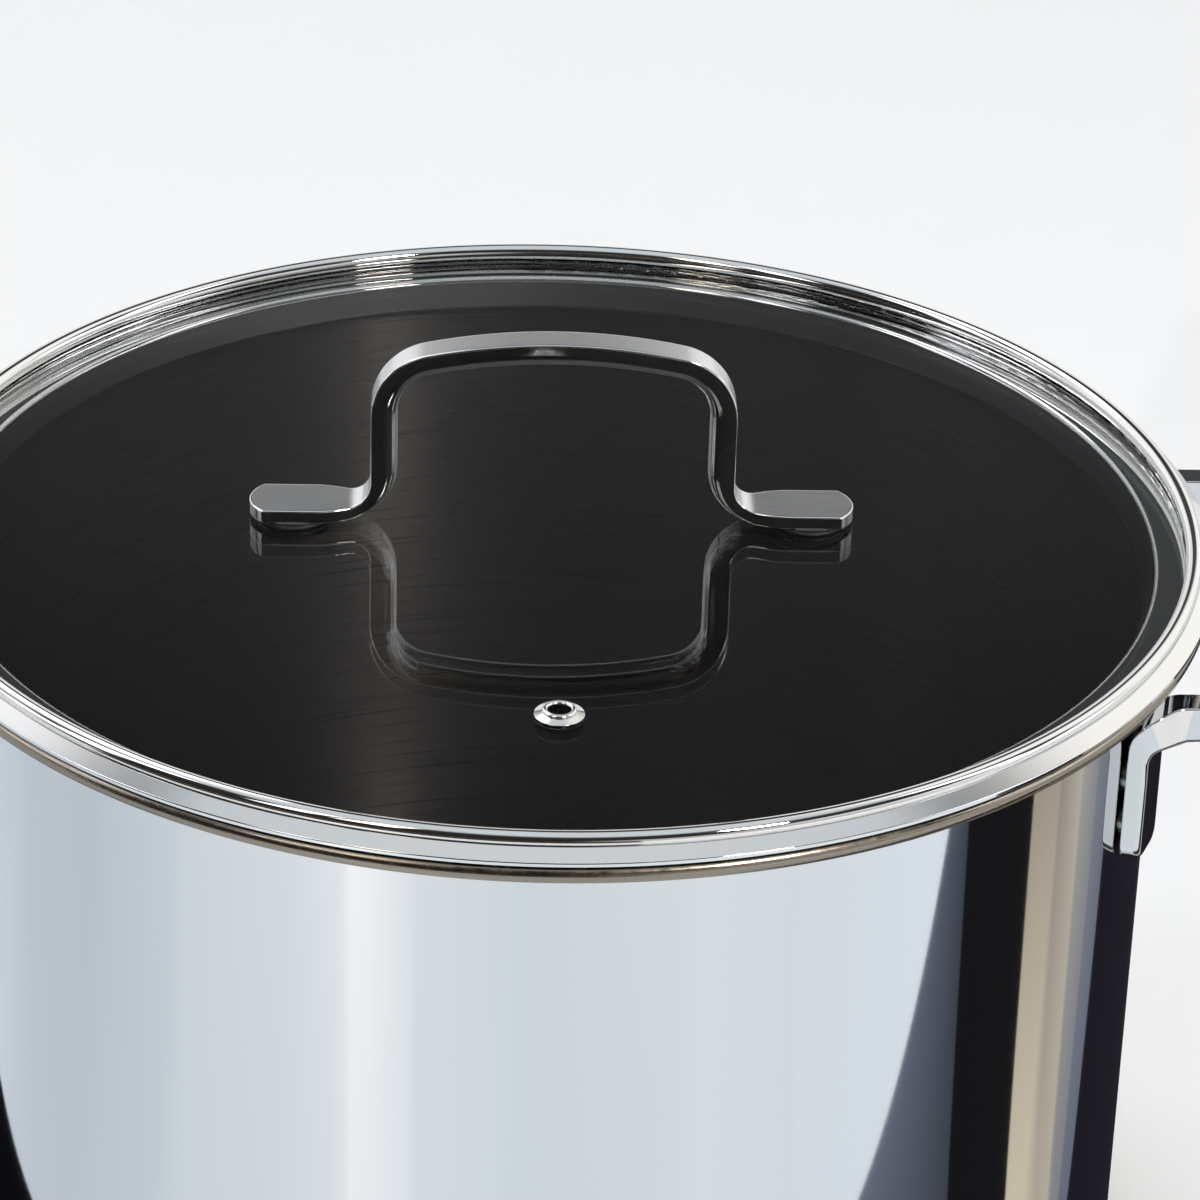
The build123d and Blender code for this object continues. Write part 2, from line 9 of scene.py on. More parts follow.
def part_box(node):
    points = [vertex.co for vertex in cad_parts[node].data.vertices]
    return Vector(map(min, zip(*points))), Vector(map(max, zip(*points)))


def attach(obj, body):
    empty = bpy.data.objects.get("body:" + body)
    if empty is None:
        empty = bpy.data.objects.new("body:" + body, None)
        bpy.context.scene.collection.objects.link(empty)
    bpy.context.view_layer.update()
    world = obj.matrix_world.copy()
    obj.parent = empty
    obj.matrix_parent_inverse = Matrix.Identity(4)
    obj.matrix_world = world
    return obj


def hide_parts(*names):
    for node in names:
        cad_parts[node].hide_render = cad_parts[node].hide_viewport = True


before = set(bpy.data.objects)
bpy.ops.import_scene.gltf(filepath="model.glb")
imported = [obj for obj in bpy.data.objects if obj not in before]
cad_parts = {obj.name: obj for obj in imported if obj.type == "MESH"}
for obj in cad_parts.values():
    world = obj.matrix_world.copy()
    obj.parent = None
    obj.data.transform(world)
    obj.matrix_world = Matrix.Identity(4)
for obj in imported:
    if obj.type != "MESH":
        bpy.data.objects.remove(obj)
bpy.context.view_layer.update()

bl_info = {
    "name": "Stock pot with glass lid",
    "version": (1, 0, 0),
    "blender": (4, 5, 0),
    "location": "3D View > Sidebar > Stock Pot",
    "description": "Builds a polished steel stock pot with a flat glass lid round its packed frame",
    "category": "Add Mesh",
}

MM = 0.001
TURN_STEPS = 480              # steps round a large turned piece
SMALL_TURN_STEPS = 96         # steps round a washer, boss or eyelet
BEND_STEP = 6.0               # degrees between points on a round part of a section
HOLD = 0.12 * MM              # a flat face's own shading starts this far from its rounded edge
AIR = 0.02 * MM               # air between a part and the glass that it rests on
SHARP_TURN = radians(40)      # bars shade sharp where two faces meet at more than this


# --- sizes and finishes that a user would change ----------------------------
def size(name, description, millimetres):
    """Length property, given in millimetres and kept in metres."""
    return FloatProperty(name=name, description=description, default=millimetres * MM, unit="LENGTH",
                         min=0.0, precision=5)


def angle(name, description, value):
    """Angle property, given in degrees and kept in radians."""
    return FloatProperty(name=name, description=description, default=radians(value), unit="ROTATION")


def linear(code):
    """Linear colour from an sRGB hex code."""
    parts = [int(code[i:i + 2], 16) / 255 for i in (1, 3, 5)]
    return [p / 12.92 if p <= 0.04045 else ((p + 0.055) / 1.055) ** 2.4 for p in parts]


def colour(name, description, code):
    """Colour property from an sRGB hex code."""
    return FloatVectorProperty(name=name, description=description, default=linear(code), size=3,
                               subtype="COLOR", min=0.0, max=1.0)


class PotSizes(bpy.types.PropertyGroup):
    """Pot shell and heat-spreading base."""
    sheet: size("Sheet", "Thickness of the pot's sheet steel", 1.0)
    floor_corner: size("Floor corner", "Outside radius between wall and floor", 10.0)
    seat_width: size("Seat width", "Step from the bore out to the rolled rim", 7.5)
    seat_depth: size("Seat depth", "Lid seat below the top of the rim", 2.25)
    seat_flare: size("Seat flare", "Inside radius where the wall turns out into the seat", 5.0)
    rim_roll: size("Rim roll", "Outside radius of the rolled rim's section", 2.0)
    rim_curl: angle("Rim curl", "How far the rim's sheet curls round", 250.0)
    cap_sheet: size("Base cap sheet", "Thickness of the cap under the base", 0.8)
    cap_edge: size("Base edge", "Outside radius of the cap's edge", 2.6)
    cap_lip: size("Base lip", "Rounding of the cap's upper edge", 0.25)


class SideHandleSizes(bpy.types.PropertyGroup):
    """Two bar handles welded to the pot."""
    foot_angle: angle("Foot angle", "Each foot's angle either side of the handle's axis", 23.5)
    foot_width: size("Foot width", "Width of the flat foot", 13.6)
    foot_thickness: size("Foot thickness", "Thickness of the flat foot", 4.7)
    foot_corner: size("Foot corner", "Corner radius at the foot's lower end", 4.0)
    standoff: size("Weld height", "Gap between foot and wall that the welds fill", 0.6)
    bar_height: size("Bar height", "Height of the bar's section", 8.9)
    bar_width: size("Bar width", "Width of the bar's section", 7.0)
    bend: size("Bend", "Wall-side radius of the bend from foot to bar", 9.5)
    under_bend: size("Under bend", "Outer radius of the bend from foot to bar", 3.5)
    corner: size("Corner", "Outside corner radius of the bar in plan", 21.0)
    shoulder: size("Shoulder", "Length over which the underside narrows from foot to bar", 7.5)
    crisp: size("Crisp edge", "Rounding of the bar's upper edges", 0.35)
    soft: size("Soft edge", "Rounding of the bar's lower edges", 1.5)
    foot_soft: size("Foot edge", "Rounding of the foot's outer edges", 1.3)
    turn_from: size("Turn start", "Reach beyond the foot where the bar begins to turn outwards", 1.5)
    turn_over: size("Turn length", "Reach over which the bar turns to the handle's axis", 8.0)


class LidBandSizes(bpy.types.PropertyGroup):
    """Steel band folded round the glass."""
    sheet: size("Sheet", "Thickness of the band's sheet steel", 0.5)
    roll: size("Roll", "Outside radius of the band's rolled crest", 1.95)
    reach: size("Flange reach", "Flange beyond the channel", 5.0)
    crease_drop: size("Crease drop", "Crease between roll and flange below the roll's centre", 0.75)
    fall: size("Flange fall", "Drop from the crease to the flange's edge", 2.0)
    hem: size("Hem", "Doubled sheet of the flange", 0.8)
    lip: size("Turned edge", "Height of the flange's turned-down edge", 0.9)
    lip_width: size("Lower lip", "Lower lip under the glass and its bend, inwards from the channel", 9.1)
    lip_bend: size("Lip bend", "Outer radius of the bend from lip to skirt", 1.6)
    skirt_lean: angle("Skirt lean", "How far the skirt leans in towards its lower edge", 18.0)
    skirt_hem: size("Skirt hem", "Thickness of the skirt's folded lower edge", 1.1)
    hem_height: size("Hem height", "Height of the skirt's folded lower edge", 2.6)
    lip_corner: size("Lip corner", "Rounding where the lower lip meets the channel", 0.5)
    edge_crown: size("Edge crown", "Rounding of the flange's edge above", 0.35)
    edge_round: size("Edge rounding", "Rounding of the flange's edge below and of the fold behind it", 0.2)
    edge_inside: size("Edge inside", "Rounding of the turned edge's inner corner", 0.15)


class LidHandleSizes(bpy.types.PropertyGroup):
    """Arched bar handle and its fixings."""
    loop_width: size("Loop width", "Over the legs", 83.2)
    arch: size("Arch", "Outside radius of the loop's top", 140.0)
    thickness: size("Bar thickness", "Thickness of the bar", 6.2)
    width: size("Bar width", "Width of the bar", 8.0)
    corner: size("Corner", "Outside corner radius of the loop", 15.5)
    bend: size("Bend", "Radius from the foot's top up the leg", 5.5)
    under_bend: size("Under bend", "Radius from the foot's underside up the leg", 12.0)
    foot_width: size("Foot width", "Width of the flat foot", 14.2)
    foot_tip: size("Foot tip", "Radius of the foot's rounded end in plan", 9.5)
    foot_corner: size("Foot corner", "Corner between the foot's end and its side in plan", 0.8)
    foot_thickness: size("Foot thickness", "Thickness of the flat foot", 3.15)
    taper: size("Foot taper", "Length over which the foot narrows to the bar", 12.0)
    neck: size("Neck", "The bar's own width begins this far inside the leg", 1.0)
    bevel: size("Bevel", "Bevel round the foot's and the bar's top face", 0.4)
    soft: size("Soft edge", "Rounding of the bar's inner edges", 3.7)
    foot_soft: size("Foot edge", "Rounding of the foot's lower edges", 0.3)
    bore: size("Boss bore", "Radius of the screw's hole in the boss", 2.15)
    barrel: size("Boss barrel", "Outside radius of the boss's barrel", 3.2)
    boss_rounding: size("Boss rounding", "Rounding of the boss's lower edge", 0.15)
    washer_rounding: size("Washer rounding", "Rounding of the silicone washer", 0.35)


class VentSizes(bpy.types.PropertyGroup):
    """Steam vent eyelet."""
    hole: size("Hole radius", "Open hole through the eyelet", 2.5)
    barrel: size("Barrel radius", "Outside of the eyelet's barrel", 3.0)
    edge: size("Flange edge", "Height of the flange's outer edge", 0.25)
    collar: size("Collar radius", "Foot of the raised ring round the hole", 3.75)
    collar_foot: size("Collar foot", "Height where the raised ring meets the flange", 0.8)
    curl: size("Spread end", "Radius of the barrel's spread end", 4.3)
    curl_sheet: size("Spread sheet", "Thickness of the barrel's spread end", 0.6)
    flange_under: size("Flange underside", "Rounding of the flange's lower edge", 0.08)
    flange_top: size("Flange top", "Rounding of the flange's upper edge", 0.15)
    throat: size("Throat", "Rounding where the hole opens below", 0.25)
    curl_under: size("Spread underside", "Rounding of the spread end's lower edge", 0.2)
    curl_top: size("Spread top", "Rounding of the spread end's upper edge", 0.1)
    gasket_round: size("Gasket rounding", "Rounding of the gasket's edges", 0.05)


class Finishes(bpy.types.PropertyGroup):
    """Colours of the metals, the glass and the silicone."""
    pot_steel: colour("Polished shell", "Mirror-polished outside of the pot", "#d5d6d7")
    # painted shade: set far darker than the shell's steel, for the dim inside of the closed pot
    shaded_inner_steel: colour("Brushed inside", "Brushed inside of the pot", "#565351")
    # painted reflection: darker and browner than the shell's steel, for the dull tone along the rolled rim
    rim_steel_and_reflection: colour("Rolled edge", "Roll round the pot's rim", "#8d857a")
    # painted shade: set far darker than the band's steel, for the skirt's face turned into the pot
    shaded_strip_steel: colour("Strip inside", "Inner face of the lid band's skirt", "#565557")
    band_steel: colour("Lid band", "Mirror-polished band", "#dcdcdb")
    bar_steel: colour("Bars", "Polished bar of the handles", "#cfd0d1")
    small_steel: colour("Small parts", "Eyelet, bosses and screws", "#d9d9d7")
    core: colour("Base core", "Rolled aluminium", "#d8dadc")
    glass: colour("Glass", "Clear tempered glass", "#f2f3f3")
    silicone: colour("Silicone", "Black silicone washers", "#141416")


class StageSettings(bpy.types.PropertyGroup):
    """Camera and floor."""
    camera_place: FloatVectorProperty(name="Camera place", description="Where the camera stands",
                                      default=(-0.02806, -0.96257, 0.6877), size=3, subtype="TRANSLATION")
    camera_pan: FloatProperty(name="Pan", description="Turn to the right of straight ahead",
                              default=0.0413, unit="ROTATION")
    camera_pitch: FloatProperty(name="Pitch", description="Tilt down", default=0.48801, unit="ROTATION")
    camera_roll: FloatProperty(name="Roll", description="Roll about the line of sight", default=0.03058,
                               unit="ROTATION")
    lens: FloatProperty(name="Lens", description="Focal length in millimetres on a 36 mm sensor",
                        default=141.0, min=10.0, max=400.0)
    floor: colour("Floor", "Plain pale floor", "#eaecee")


class StockPot(bpy.types.PropertyGroup):
    """Every group of settings for the stock pot."""
    pot: PointerProperty(type=PotSizes)
    side: PointerProperty(type=SideHandleSizes)
    band: PointerProperty(type=LidBandSizes)
    handle: PointerProperty(type=LidHandleSizes)
    vent: PointerProperty(type=VentSizes)
    finish: PointerProperty(type=Finishes)
    stage: PointerProperty(type=StageSettings)


# --- turned sections --------------------------------------------------------
def straight(start, end):
    """Straight run of a section, as (point, outward normal) pairs; the solid lies to its left."""
    start, end = Vector(start), Vector(end)
    run = (end - start).normalized()
    normal = Vector((run.y, -run.x))
    return [(start, normal), (end, normal)]


def bend(centre, radius, start, sweep, step=BEND_STEP):
    """Round run of a section, angles in degrees; a positive sweep bulges out of the solid."""
    count = max(2, ceil(abs(sweep) / step))
    side = 1 if sweep > 0 else -1
    run = []
    for i in range(count + 1):
        turn = radians(start + sweep * i / count)
        ray = Vector((cos(turn), sin(turn)))
        run.append((Vector(centre) + radius * ray, side * ray))
    return run


def rounded(*corners):
    """Runs through (radius, height, rounding) corners; the first and the last stay sharp."""
    runs = []
    here = Vector(corners[0][:2])
    for before, corner, after in zip(corners, corners[1:], corners[2:]):
        point = Vector(corner[:2])
        if corner[2] <= 0:
            runs.append(straight(here, point))
            here = point
            continue
        back = (Vector(before[:2]) - point).normalized()
        ahead = (Vector(after[:2]) - point).normalized()
        half = back.angle(ahead) / 2
        start = point + back * corner[2] / tan(half)
        end = point + ahead * corner[2] / tan(half)
        centre = point + (back + ahead).normalized() * corner[2] / sin(half)
        first = degrees(atan2(start.y - centre.y, start.x - centre.x))
        last = degrees(atan2(end.y - centre.y, end.x - centre.x))
        if (start - here).length > 1e-9:
            runs.append(straight(here, start))
        runs.append(bend(centre, corner[2], first, (last - first + 180) % 360 - 180, step=15))
        here = end
    runs.append(straight(here, Vector(corners[-1][:2])))
    return runs


def new_piece(name, vertices, faces, finishes, finish_of=None):
    """Mesh object with its materials, shaded smooth."""
    mesh = bpy.data.meshes.new(name)
    mesh.from_pydata(vertices, [], faces)
    for material in finishes:
        mesh.materials.append(material)
    if finish_of:
        mesh.polygons.foreach_set("material_index", finish_of)
    mesh.polygons.foreach_set("use_smooth", [True] * len(mesh.polygons))
    piece = bpy.data.objects.new(name, mesh)
    bpy.context.scene.collection.objects.link(piece)
    return piece


def turned(name, groups, finishes, centre=(0.0, 0.0), steps=TURN_STEPS):
    """Piece turned about a vertical axis from a closed section. groups holds one list of runs for each
    material, in order anticlockwise round the section, and every corner gets the section's own normal."""
    rays = [(cos(2 * pi * j / steps), sin(2 * pi * j / steps)) for j in range(steps)]
    vertices, faces, normals, finish_of = [], [], [], []
    rings = []

    def ring_at(point):
        """Ring of vertices at a point of the section; the first and the last ring are met again."""
        for known, ring in rings[:1] + rings[-1:]:
            if (known - point).length < 1e-8:
                return ring
        first = len(vertices)
        if point.x < 1e-9:
            vertices.append((centre[0], centre[1], point.y))
            ring = [first] * steps
        else:
            vertices.extend((centre[0] + point.x * c, centre[1] + point.x * s, point.y) for c, s in rays)
            ring = list(range(first, first + steps))
        rings.append((point, ring))
        return ring

    for index, runs in enumerate(groups):
        for run in runs:
            for (p, n), (q, m) in zip(run, run[1:]):
                a, b = ring_at(p), ring_at(q)
                if a is b:
                    continue
                for j in range(steps):
                    k = (j + 1) % steps
                    corners = [(a[j], n, j), (a[k], n, k), (b[k], m, k), (b[j], m, j)]
                    if p.x < 1e-9:
                        corners.pop(1)
                    elif q.x < 1e-9:
                        corners.pop(2)
                    faces.append([corner[0] for corner in corners])
                    normals.extend((rays[i][0] * v.x, rays[i][1] * v.x, v.y) for _, v, i in corners)
                    finish_of.append(index)
    piece = new_piece(name, vertices, faces, finishes, finish_of)
    piece.data.normals_split_custom_set(normals)
    return piece


# --- bars -------------------------------------------------------------------
def quarter(steps):
    """Angles of a quarter turn in radians, both ends included."""
    return [radians(90 * i / steps) for i in range(steps + 1)]


def half_section(crisp, soft, thickness):
    """One side of a bar's section as (inset from the side, depth below the top face) points."""
    points = [(crisp + HOLD, 0.0)]
    for turn in quarter(4):
        points.append((crisp * (1 - sin(turn)), crisp * (1 - cos(turn))))
    points.append((0.0, crisp + HOLD))
    points.append((0.0, thickness - soft - HOLD))
    for turn in quarter(8):
        points.append((soft * (1 - cos(turn)), thickness - soft * (1 - sin(turn))))
    points.append((soft + HOLD, thickness))
    return points


def station(top, under, side, widths, crisp, soft, along=(0, 0, 0), slant=(0.0, 1.0)):
    """Ring of points round a bar: top and under are the middles of two faces, side points across, widths
    are the half widths at top and under, and slant shares an inset between along and side."""
    top, under, side, along = Vector(top), Vector(under), Vector(side), Vector(along)
    thickness = (under - top).length
    right, left = [], []
    for inset, depth in half_section(crisp, soft, thickness):
        where = depth / thickness
        middle = top.lerp(under, where) - along * inset * slant[0]
        reach = max(0.0, widths[0] + (widths[1] - widths[0]) * where - inset * slant[1])
        right.append(middle + side * reach)
        left.append(middle - side * reach)
    return right + left[::-1]


def lofted(name, rings, finishes):
    """Closed piece through rings of points, with an end face made of strips across each end ring. The
    first finish covers it, and the second the flat face between each ring's last and first points."""
    count = len(rings[0])
    vertices = [tuple(point) for ring in rings for point in ring]
    faces, finish_of = [], []
    for i in range(len(rings) - 1):
        for j in range(count):
            k = (j + 1) % count
            faces.append((i * count + j, i * count + k, (i + 1) * count + k, (i + 1) * count + j))
            finish_of.append(1 if k == 0 else 0)
    last = (len(rings) - 1) * count
    for j in range(count // 2 - 1):
        k = count - 1 - j
        faces.append((j, k, k - 1, j + 1))
        faces.append((last + j, last + j + 1, last + k - 1, last + k))
        finish_of += [0, 0]
    piece = new_piece(name, vertices, faces, finishes, finish_of)
    shell = bmesh.new()
    shell.from_mesh(piece.data)
    bmesh.ops.remove_doubles(shell, verts=shell.verts, dist=1e-7)
    bmesh.ops.dissolve_degenerate(shell, edges=shell.edges, dist=1e-8)
    bmesh.ops.recalc_face_normals(shell, faces=shell.faces)
    shell.to_mesh(piece.data)
    shell.free()
    piece.data.polygons.foreach_set("use_smooth", [True] * len(piece.data.polygons))
    piece.data.set_sharp_from_angle(angle=SHARP_TURN)
    return piece


def ease(value):
    """Smooth step from 0 to 1."""
    value = min(1.0, max(0.0, value))
    return value * value * (3 - 2 * value)


def stands_for(piece, body, slot, *nodes):
    """Puts a finished piece on its body, in place of CAD nodes, which it hides. slot is not used."""
    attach(piece, body)
    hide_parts(*nodes)


# --- materials --------------------------------------------------------------
# Real tool lines are a few hundredths of a millimetre apart, too fine to show, so they are drawn coarser
# here: 0.4 to 1 mm apart.
NOISE_SPAN = {"From Min": 0.3, "From Max": 0.7}   # nearly all of a noise node's values lie between these


def add(tree, kind, inputs=None, **settings):
    """Adds a node: settings go on the node, and inputs are values or sockets to link."""
    node = tree.nodes.new("ShaderNode" + kind)
    for name, value in settings.items():
        setattr(node, name, value)
    for name, value in (inputs or {}).items():
        if isinstance(value, bpy.types.NodeSocket):
            tree.links.new(value, node.inputs[name])
        else:
            node.inputs[name].default_value = value
    return node


def new_material(name):
    """Empty node material and its output."""
    material = bpy.data.materials.get(name) or bpy.data.materials.new(name)
    material.use_nodes = True
    material.node_tree.nodes.clear()
    return material, material.node_tree, add(material.node_tree, "OutputMaterial")


def tint(rgb):
    """Colour with full opacity, as sockets take it."""
    return (*rgb, 1.0)


def turned_grain(tree, pitch, run):
    """Noise drawn out along the lines that a tool leaves on a spinning part: one line a pitch."""
    place = add(tree, "TexCoord").outputs["Object"]
    parts = add(tree, "SeparateXYZ", {0: place}).outputs
    flat = add(tree, "CombineXYZ", {"X": parts["X"], "Y": parts["Y"]}).outputs[0]
    radius = add(tree, "VectorMath", {0: flat}, operation="LENGTH").outputs["Value"]
    across = add(tree, "Math", {0: radius, 1: parts["Z"]}, operation="ADD").outputs[0]
    across = add(tree, "Math", {0: across, 1: run / pitch}, operation="MULTIPLY").outputs[0]
    drawn = add(tree, "CombineXYZ", {"X": parts["X"], "Y": parts["Y"], "Z": across}).outputs[0]
    return add(tree, "TexNoise", {"Vector": drawn, "Scale": 1 / run, "Detail": 3.0, "Roughness": 0.6}
               ).outputs["Fac"]


def steel(name, rgb, roughness, pitch, run, depth, anisotropy=0.0, grain=turned_grain):
    """Metal whose roughness and relief follow its tool lines, which lie a pitch apart and go on for about
    a run. roughness is (low, high), and anisotropy draws highlights out across lines that run round the
    piece."""
    material, tree, output = new_material(name)
    lines = grain(tree, pitch, run)
    relief = add(tree, "Bump", {"Height": lines, "Strength": 1.0, "Distance": depth}).outputs[0]
    polish = add(tree, "MapRange", {**NOISE_SPAN, "Value": lines, "To Min": roughness[0],
                                    "To Max": roughness[1]}).outputs["Result"]
    inputs = {"Base Color": tint(rgb), "Metallic": 1.0, "Roughness": polish, "Normal": relief}
    if anisotropy > 0:
        tangent = add(tree, "Tangent", direction_type="RADIAL", axis="Z").outputs[0]
        inputs.update({"Anisotropic": anisotropy, "Anisotropic Rotation": 0.25, "Tangent": tangent})
    shader = add(tree, "BsdfPrincipled", inputs)
    tree.links.new(shader.outputs[0], output.inputs["Surface"])
    return material


def bar_grain(tree, pitch, run):
    """Faint lines along X, as a polishing belt leaves on a bar."""
    place = add(tree, "TexCoord").outputs["Object"]
    drawn = add(tree, "VectorMath", {0: place, 1: (pitch / run, 1.0, 1.0)}, operation="MULTIPLY").outputs[0]
    return add(tree, "TexNoise", {"Vector": drawn, "Scale": 1 / pitch, "Detail": 2.0}).outputs["Fac"]


def mirror_polished_shell():
    # 18/10 stainless sheet, spun and buffed: an almost clear mirror, with round buffing lines that
    # soften the edges of what it shows
    rgb = bpy.context.scene.stock_pot.finish.pot_steel
    return steel("Stainless sheet, spun and mirror-polished", rgb, roughness=(0.03, 0.055),
                 pitch=0.5 * MM, run=60 * MM, depth=0.4e-6, anisotropy=0.8)


def rolled_edge():
    # the sheet where it is curled over a tool: buffing hardly reaches it, so it keeps a grainy satin
    # surface that dulls what it shows; its darker, browner colour than the shell's is a painted reflection
    # of the dull tone along the roll
    rgb = bpy.context.scene.stock_pot.finish.rim_steel_and_reflection
    return steel("Stainless sheet, rolled edge", rgb, roughness=(0.16, 0.30),
                 pitch=0.5 * MM, run=3 * MM, depth=3e-6)


def brushed_inside():
    # the same sheet brushed round inside: lines that smear every highlight up and down the wall; its colour
    # is set far darker than the shell's, as painted shade for the dim inside of the closed pot
    rgb = bpy.context.scene.stock_pot.finish.shaded_inner_steel
    return steel("Stainless sheet, brushed round inside", rgb, roughness=(0.26, 0.36),
                 pitch=0.40 * MM, run=60 * MM, depth=7e-6, anisotropy=1.0)


def polished_band():
    # thin stainless strip, roll-formed and polished: clean highlights along the band
    rgb = bpy.context.scene.stock_pot.finish.band_steel
    return steel("Stainless strip, roll-formed and polished", rgb, roughness=(0.03, 0.06),
                 pitch=0.7 * MM, run=60 * MM, depth=0.3e-6)


def strip_inside():
    # the same strip on the face that looks into the pot, left as rolled, so without highlights; its dark
    # grey colour, far below the band's, is painted shade for the face turned into the pot
    rgb = bpy.context.scene.stock_pot.finish.shaded_strip_steel
    return steel("Stainless strip, face left as rolled, painted shade", rgb, roughness=(0.30, 0.42),
                 pitch=0.5 * MM, run=30 * MM, depth=2e-6)


def polished_bar():
    # stainless bar, bent and polished: sharp highlights with a faint drag along the bar
    rgb = bpy.context.scene.stock_pot.finish.bar_steel
    return steel("Stainless bar, bent and mirror-polished", rgb, roughness=(0.04, 0.08),
                 pitch=0.5 * MM, run=12 * MM, depth=1e-6, grain=bar_grain)


def brushed_bar_face():
    # the bar's flat outer face, finished on a belt: fine lines along the bar, an even satin grey
    rgb = bpy.context.scene.stock_pot.finish.bar_steel
    return steel("Stainless bar, flat face belt-brushed", rgb, roughness=(0.20, 0.27),
                 pitch=0.4 * MM, run=14 * MM, depth=1.2e-6, grain=bar_grain)


def pressed_small_steel():
    # stainless eyelet and bosses, pressed and tumbled: bright with softened highlights
    rgb = bpy.context.scene.stock_pot.finish.small_steel
    return steel("Stainless, pressed and tumbled", rgb, roughness=(0.07, 0.14),
                 pitch=0.8 * MM, run=2 * MM, depth=2e-6)


def brushed_cap():
    # stainless cap, turned with a fine tool: rings that catch the light as a fan
    rgb = bpy.context.scene.stock_pot.finish.pot_steel
    return steel("Stainless cap, brushed in circles", rgb, roughness=(0.2, 0.32),
                 pitch=0.5 * MM, run=40 * MM, depth=4e-6, anisotropy=0.6)


def weld_steel():
    # resistance welds: bright, a little rippled
    rgb = bpy.context.scene.stock_pot.finish.small_steel
    return steel("Stainless weld, as welded", rgb, roughness=(0.25, 0.4),
                 pitch=0.7 * MM, run=2 * MM, depth=2e-5)


def rolled_aluminium():
    # aluminium disc, as rolled: grey, soft sheen
    rgb = bpy.context.scene.stock_pot.finish.core
    return steel("Aluminium plate, as rolled", rgb, roughness=(0.35, 0.5),
                 pitch=1.0 * MM, run=20 * MM, depth=6e-6, grain=bar_grain)


def tempered_glass():
    # soda-lime glass, tempered: clear and flat, with the thin haze of a wiped surface; lamps shine
    # through it, so what is inside the pot is lit
    material, tree, output = new_material("Soda-lime glass, tempered")
    rgb = bpy.context.scene.stock_pot.finish.glass
    place = add(tree, "TexCoord").outputs["Object"]
    haze = add(tree, "TexNoise", {"Vector": place, "Scale": 1 / (25 * MM), "Detail": 4.0}).outputs["Fac"]
    wiped = add(tree, "MapRange", {**NOISE_SPAN, "Value": haze, "To Min": 0.0, "To Max": 0.012})
    pane = add(tree, "BsdfPrincipled", {"Base Color": tint(rgb), "Roughness": wiped.outputs["Result"],
                                        "IOR": 1.52, "Transmission Weight": 1.0})
    clear = add(tree, "BsdfTransparent", {"Color": tint([0.8 * c for c in rgb])})
    path = add(tree, "LightPath").outputs["Is Shadow Ray"]
    mixed = add(tree, "MixShader", {0: path, 1: pane.outputs[0], 2: clear.outputs[0]})
    tree.links.new(mixed.outputs[0], output.inputs["Surface"])
    return material


def moulded_silicone():
    # moulded silicone rubber: black and matt, with the fine grain of its mould
    material, tree, output = new_material("Silicone rubber, moulded")
    rgb = bpy.context.scene.stock_pot.finish.silicone
    place = add(tree, "TexCoord").outputs["Object"]
    grain = add(tree, "TexNoise", {"Vector": place, "Scale": 1 / (0.4 * MM), "Detail": 2.0}).outputs["Fac"]
    relief = add(tree, "Bump", {"Height": grain, "Strength": 0.5, "Distance": 1e-5}).outputs[0]
    matt = add(tree, "MapRange", {**NOISE_SPAN, "Value": grain, "To Min": 0.45, "To Max": 0.6})
    shader = add(tree, "BsdfPrincipled", {"Base Color": tint(rgb), "Roughness": matt.outputs["Result"],
                                          "Normal": relief})
    tree.links.new(shader.outputs[0], output.inputs["Surface"])
    return material


def finish_node(material, *nodes):
    """Gives CAD nodes that stay in view their material."""
    for name in nodes:
        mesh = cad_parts[name].data
        mesh.materials.clear()
        mesh.materials.append(material)


# --- pieces -----------------------------------------------------------------
class STOCKPOT_OT_shell(bpy.types.Operator):
    """Builds the pot's deep-drawn shell with its lid seat and rolled rim"""
    bl_idname = "stock_pot.shell"
    bl_label = "Pot shell"

    def execute(self, context):
        sizes = context.scene.stock_pot.pot
        low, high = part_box("pot_body")
        roll_centre = (high.x - sizes.rim_roll, high.z - sizes.rim_roll)
        bore = roll_centre[0] - sizes.rim_roll - sizes.seat_width
        wall = bore + sizes.sheet
        seat = high.z - sizes.seat_depth
        corner = (wall - sizes.floor_corner, low.z + sizes.floor_corner)
        flare = (bore + sizes.seat_flare, seat - sizes.seat_flare)
        riser = roll_centre[0] - sizes.rim_roll
        curl = degrees(sizes.rim_curl)
        curl_end = radians(180 - curl)
        end_ray = Vector((cos(curl_end), sin(curl_end)))
        tip_in = Vector(roll_centre) + (sizes.rim_roll - sizes.sheet) * end_ray
        tip_out = Vector(roll_centre) + sizes.rim_roll * end_ray
        outside = [
            straight((0, low.z), (corner[0], low.z)),
            bend(corner, sizes.floor_corner, -90, 90),
            straight((wall, corner[1]), (wall, flare[1])),
            bend(flare, sizes.seat_flare - sizes.sheet, 180, -90),
            straight((flare[0], seat - sizes.sheet), (riser, seat - sizes.sheet)),
            bend((riser, seat), sizes.sheet, -90, 90, step=15),
            straight((riser + sizes.sheet, seat), (riser + sizes.sheet, roll_centre[1])),
            bend(roll_centre, sizes.rim_roll - sizes.sheet, 180, -curl),
            straight(tip_in, tip_out),
        ]
        roll = [bend(roll_centre, sizes.rim_roll, 180 - curl, curl, step=4)]
        lid_seat = [
            straight((riser, roll_centre[1]), (riser, seat)),
            straight((riser, seat), (flare[0], seat)),
        ]
        inside = [
            bend(flare, sizes.seat_flare, 90, 90),
            straight((bore, flare[1]), (bore, corner[1])),
            bend(corner, sizes.floor_corner - sizes.sheet, 0, -90),
            straight((corner[0], low.z + sizes.sheet), (0, low.z + sizes.sheet)),
        ]
        shell = mirror_polished_shell()
        piece = turned("pot_shell", [outside, roll, lid_seat, inside],
                       [shell, rolled_edge(), shell, brushed_inside()])
        stands_for(piece, "pot", "pot_steel", "pot_body")
        return {"FINISHED"}


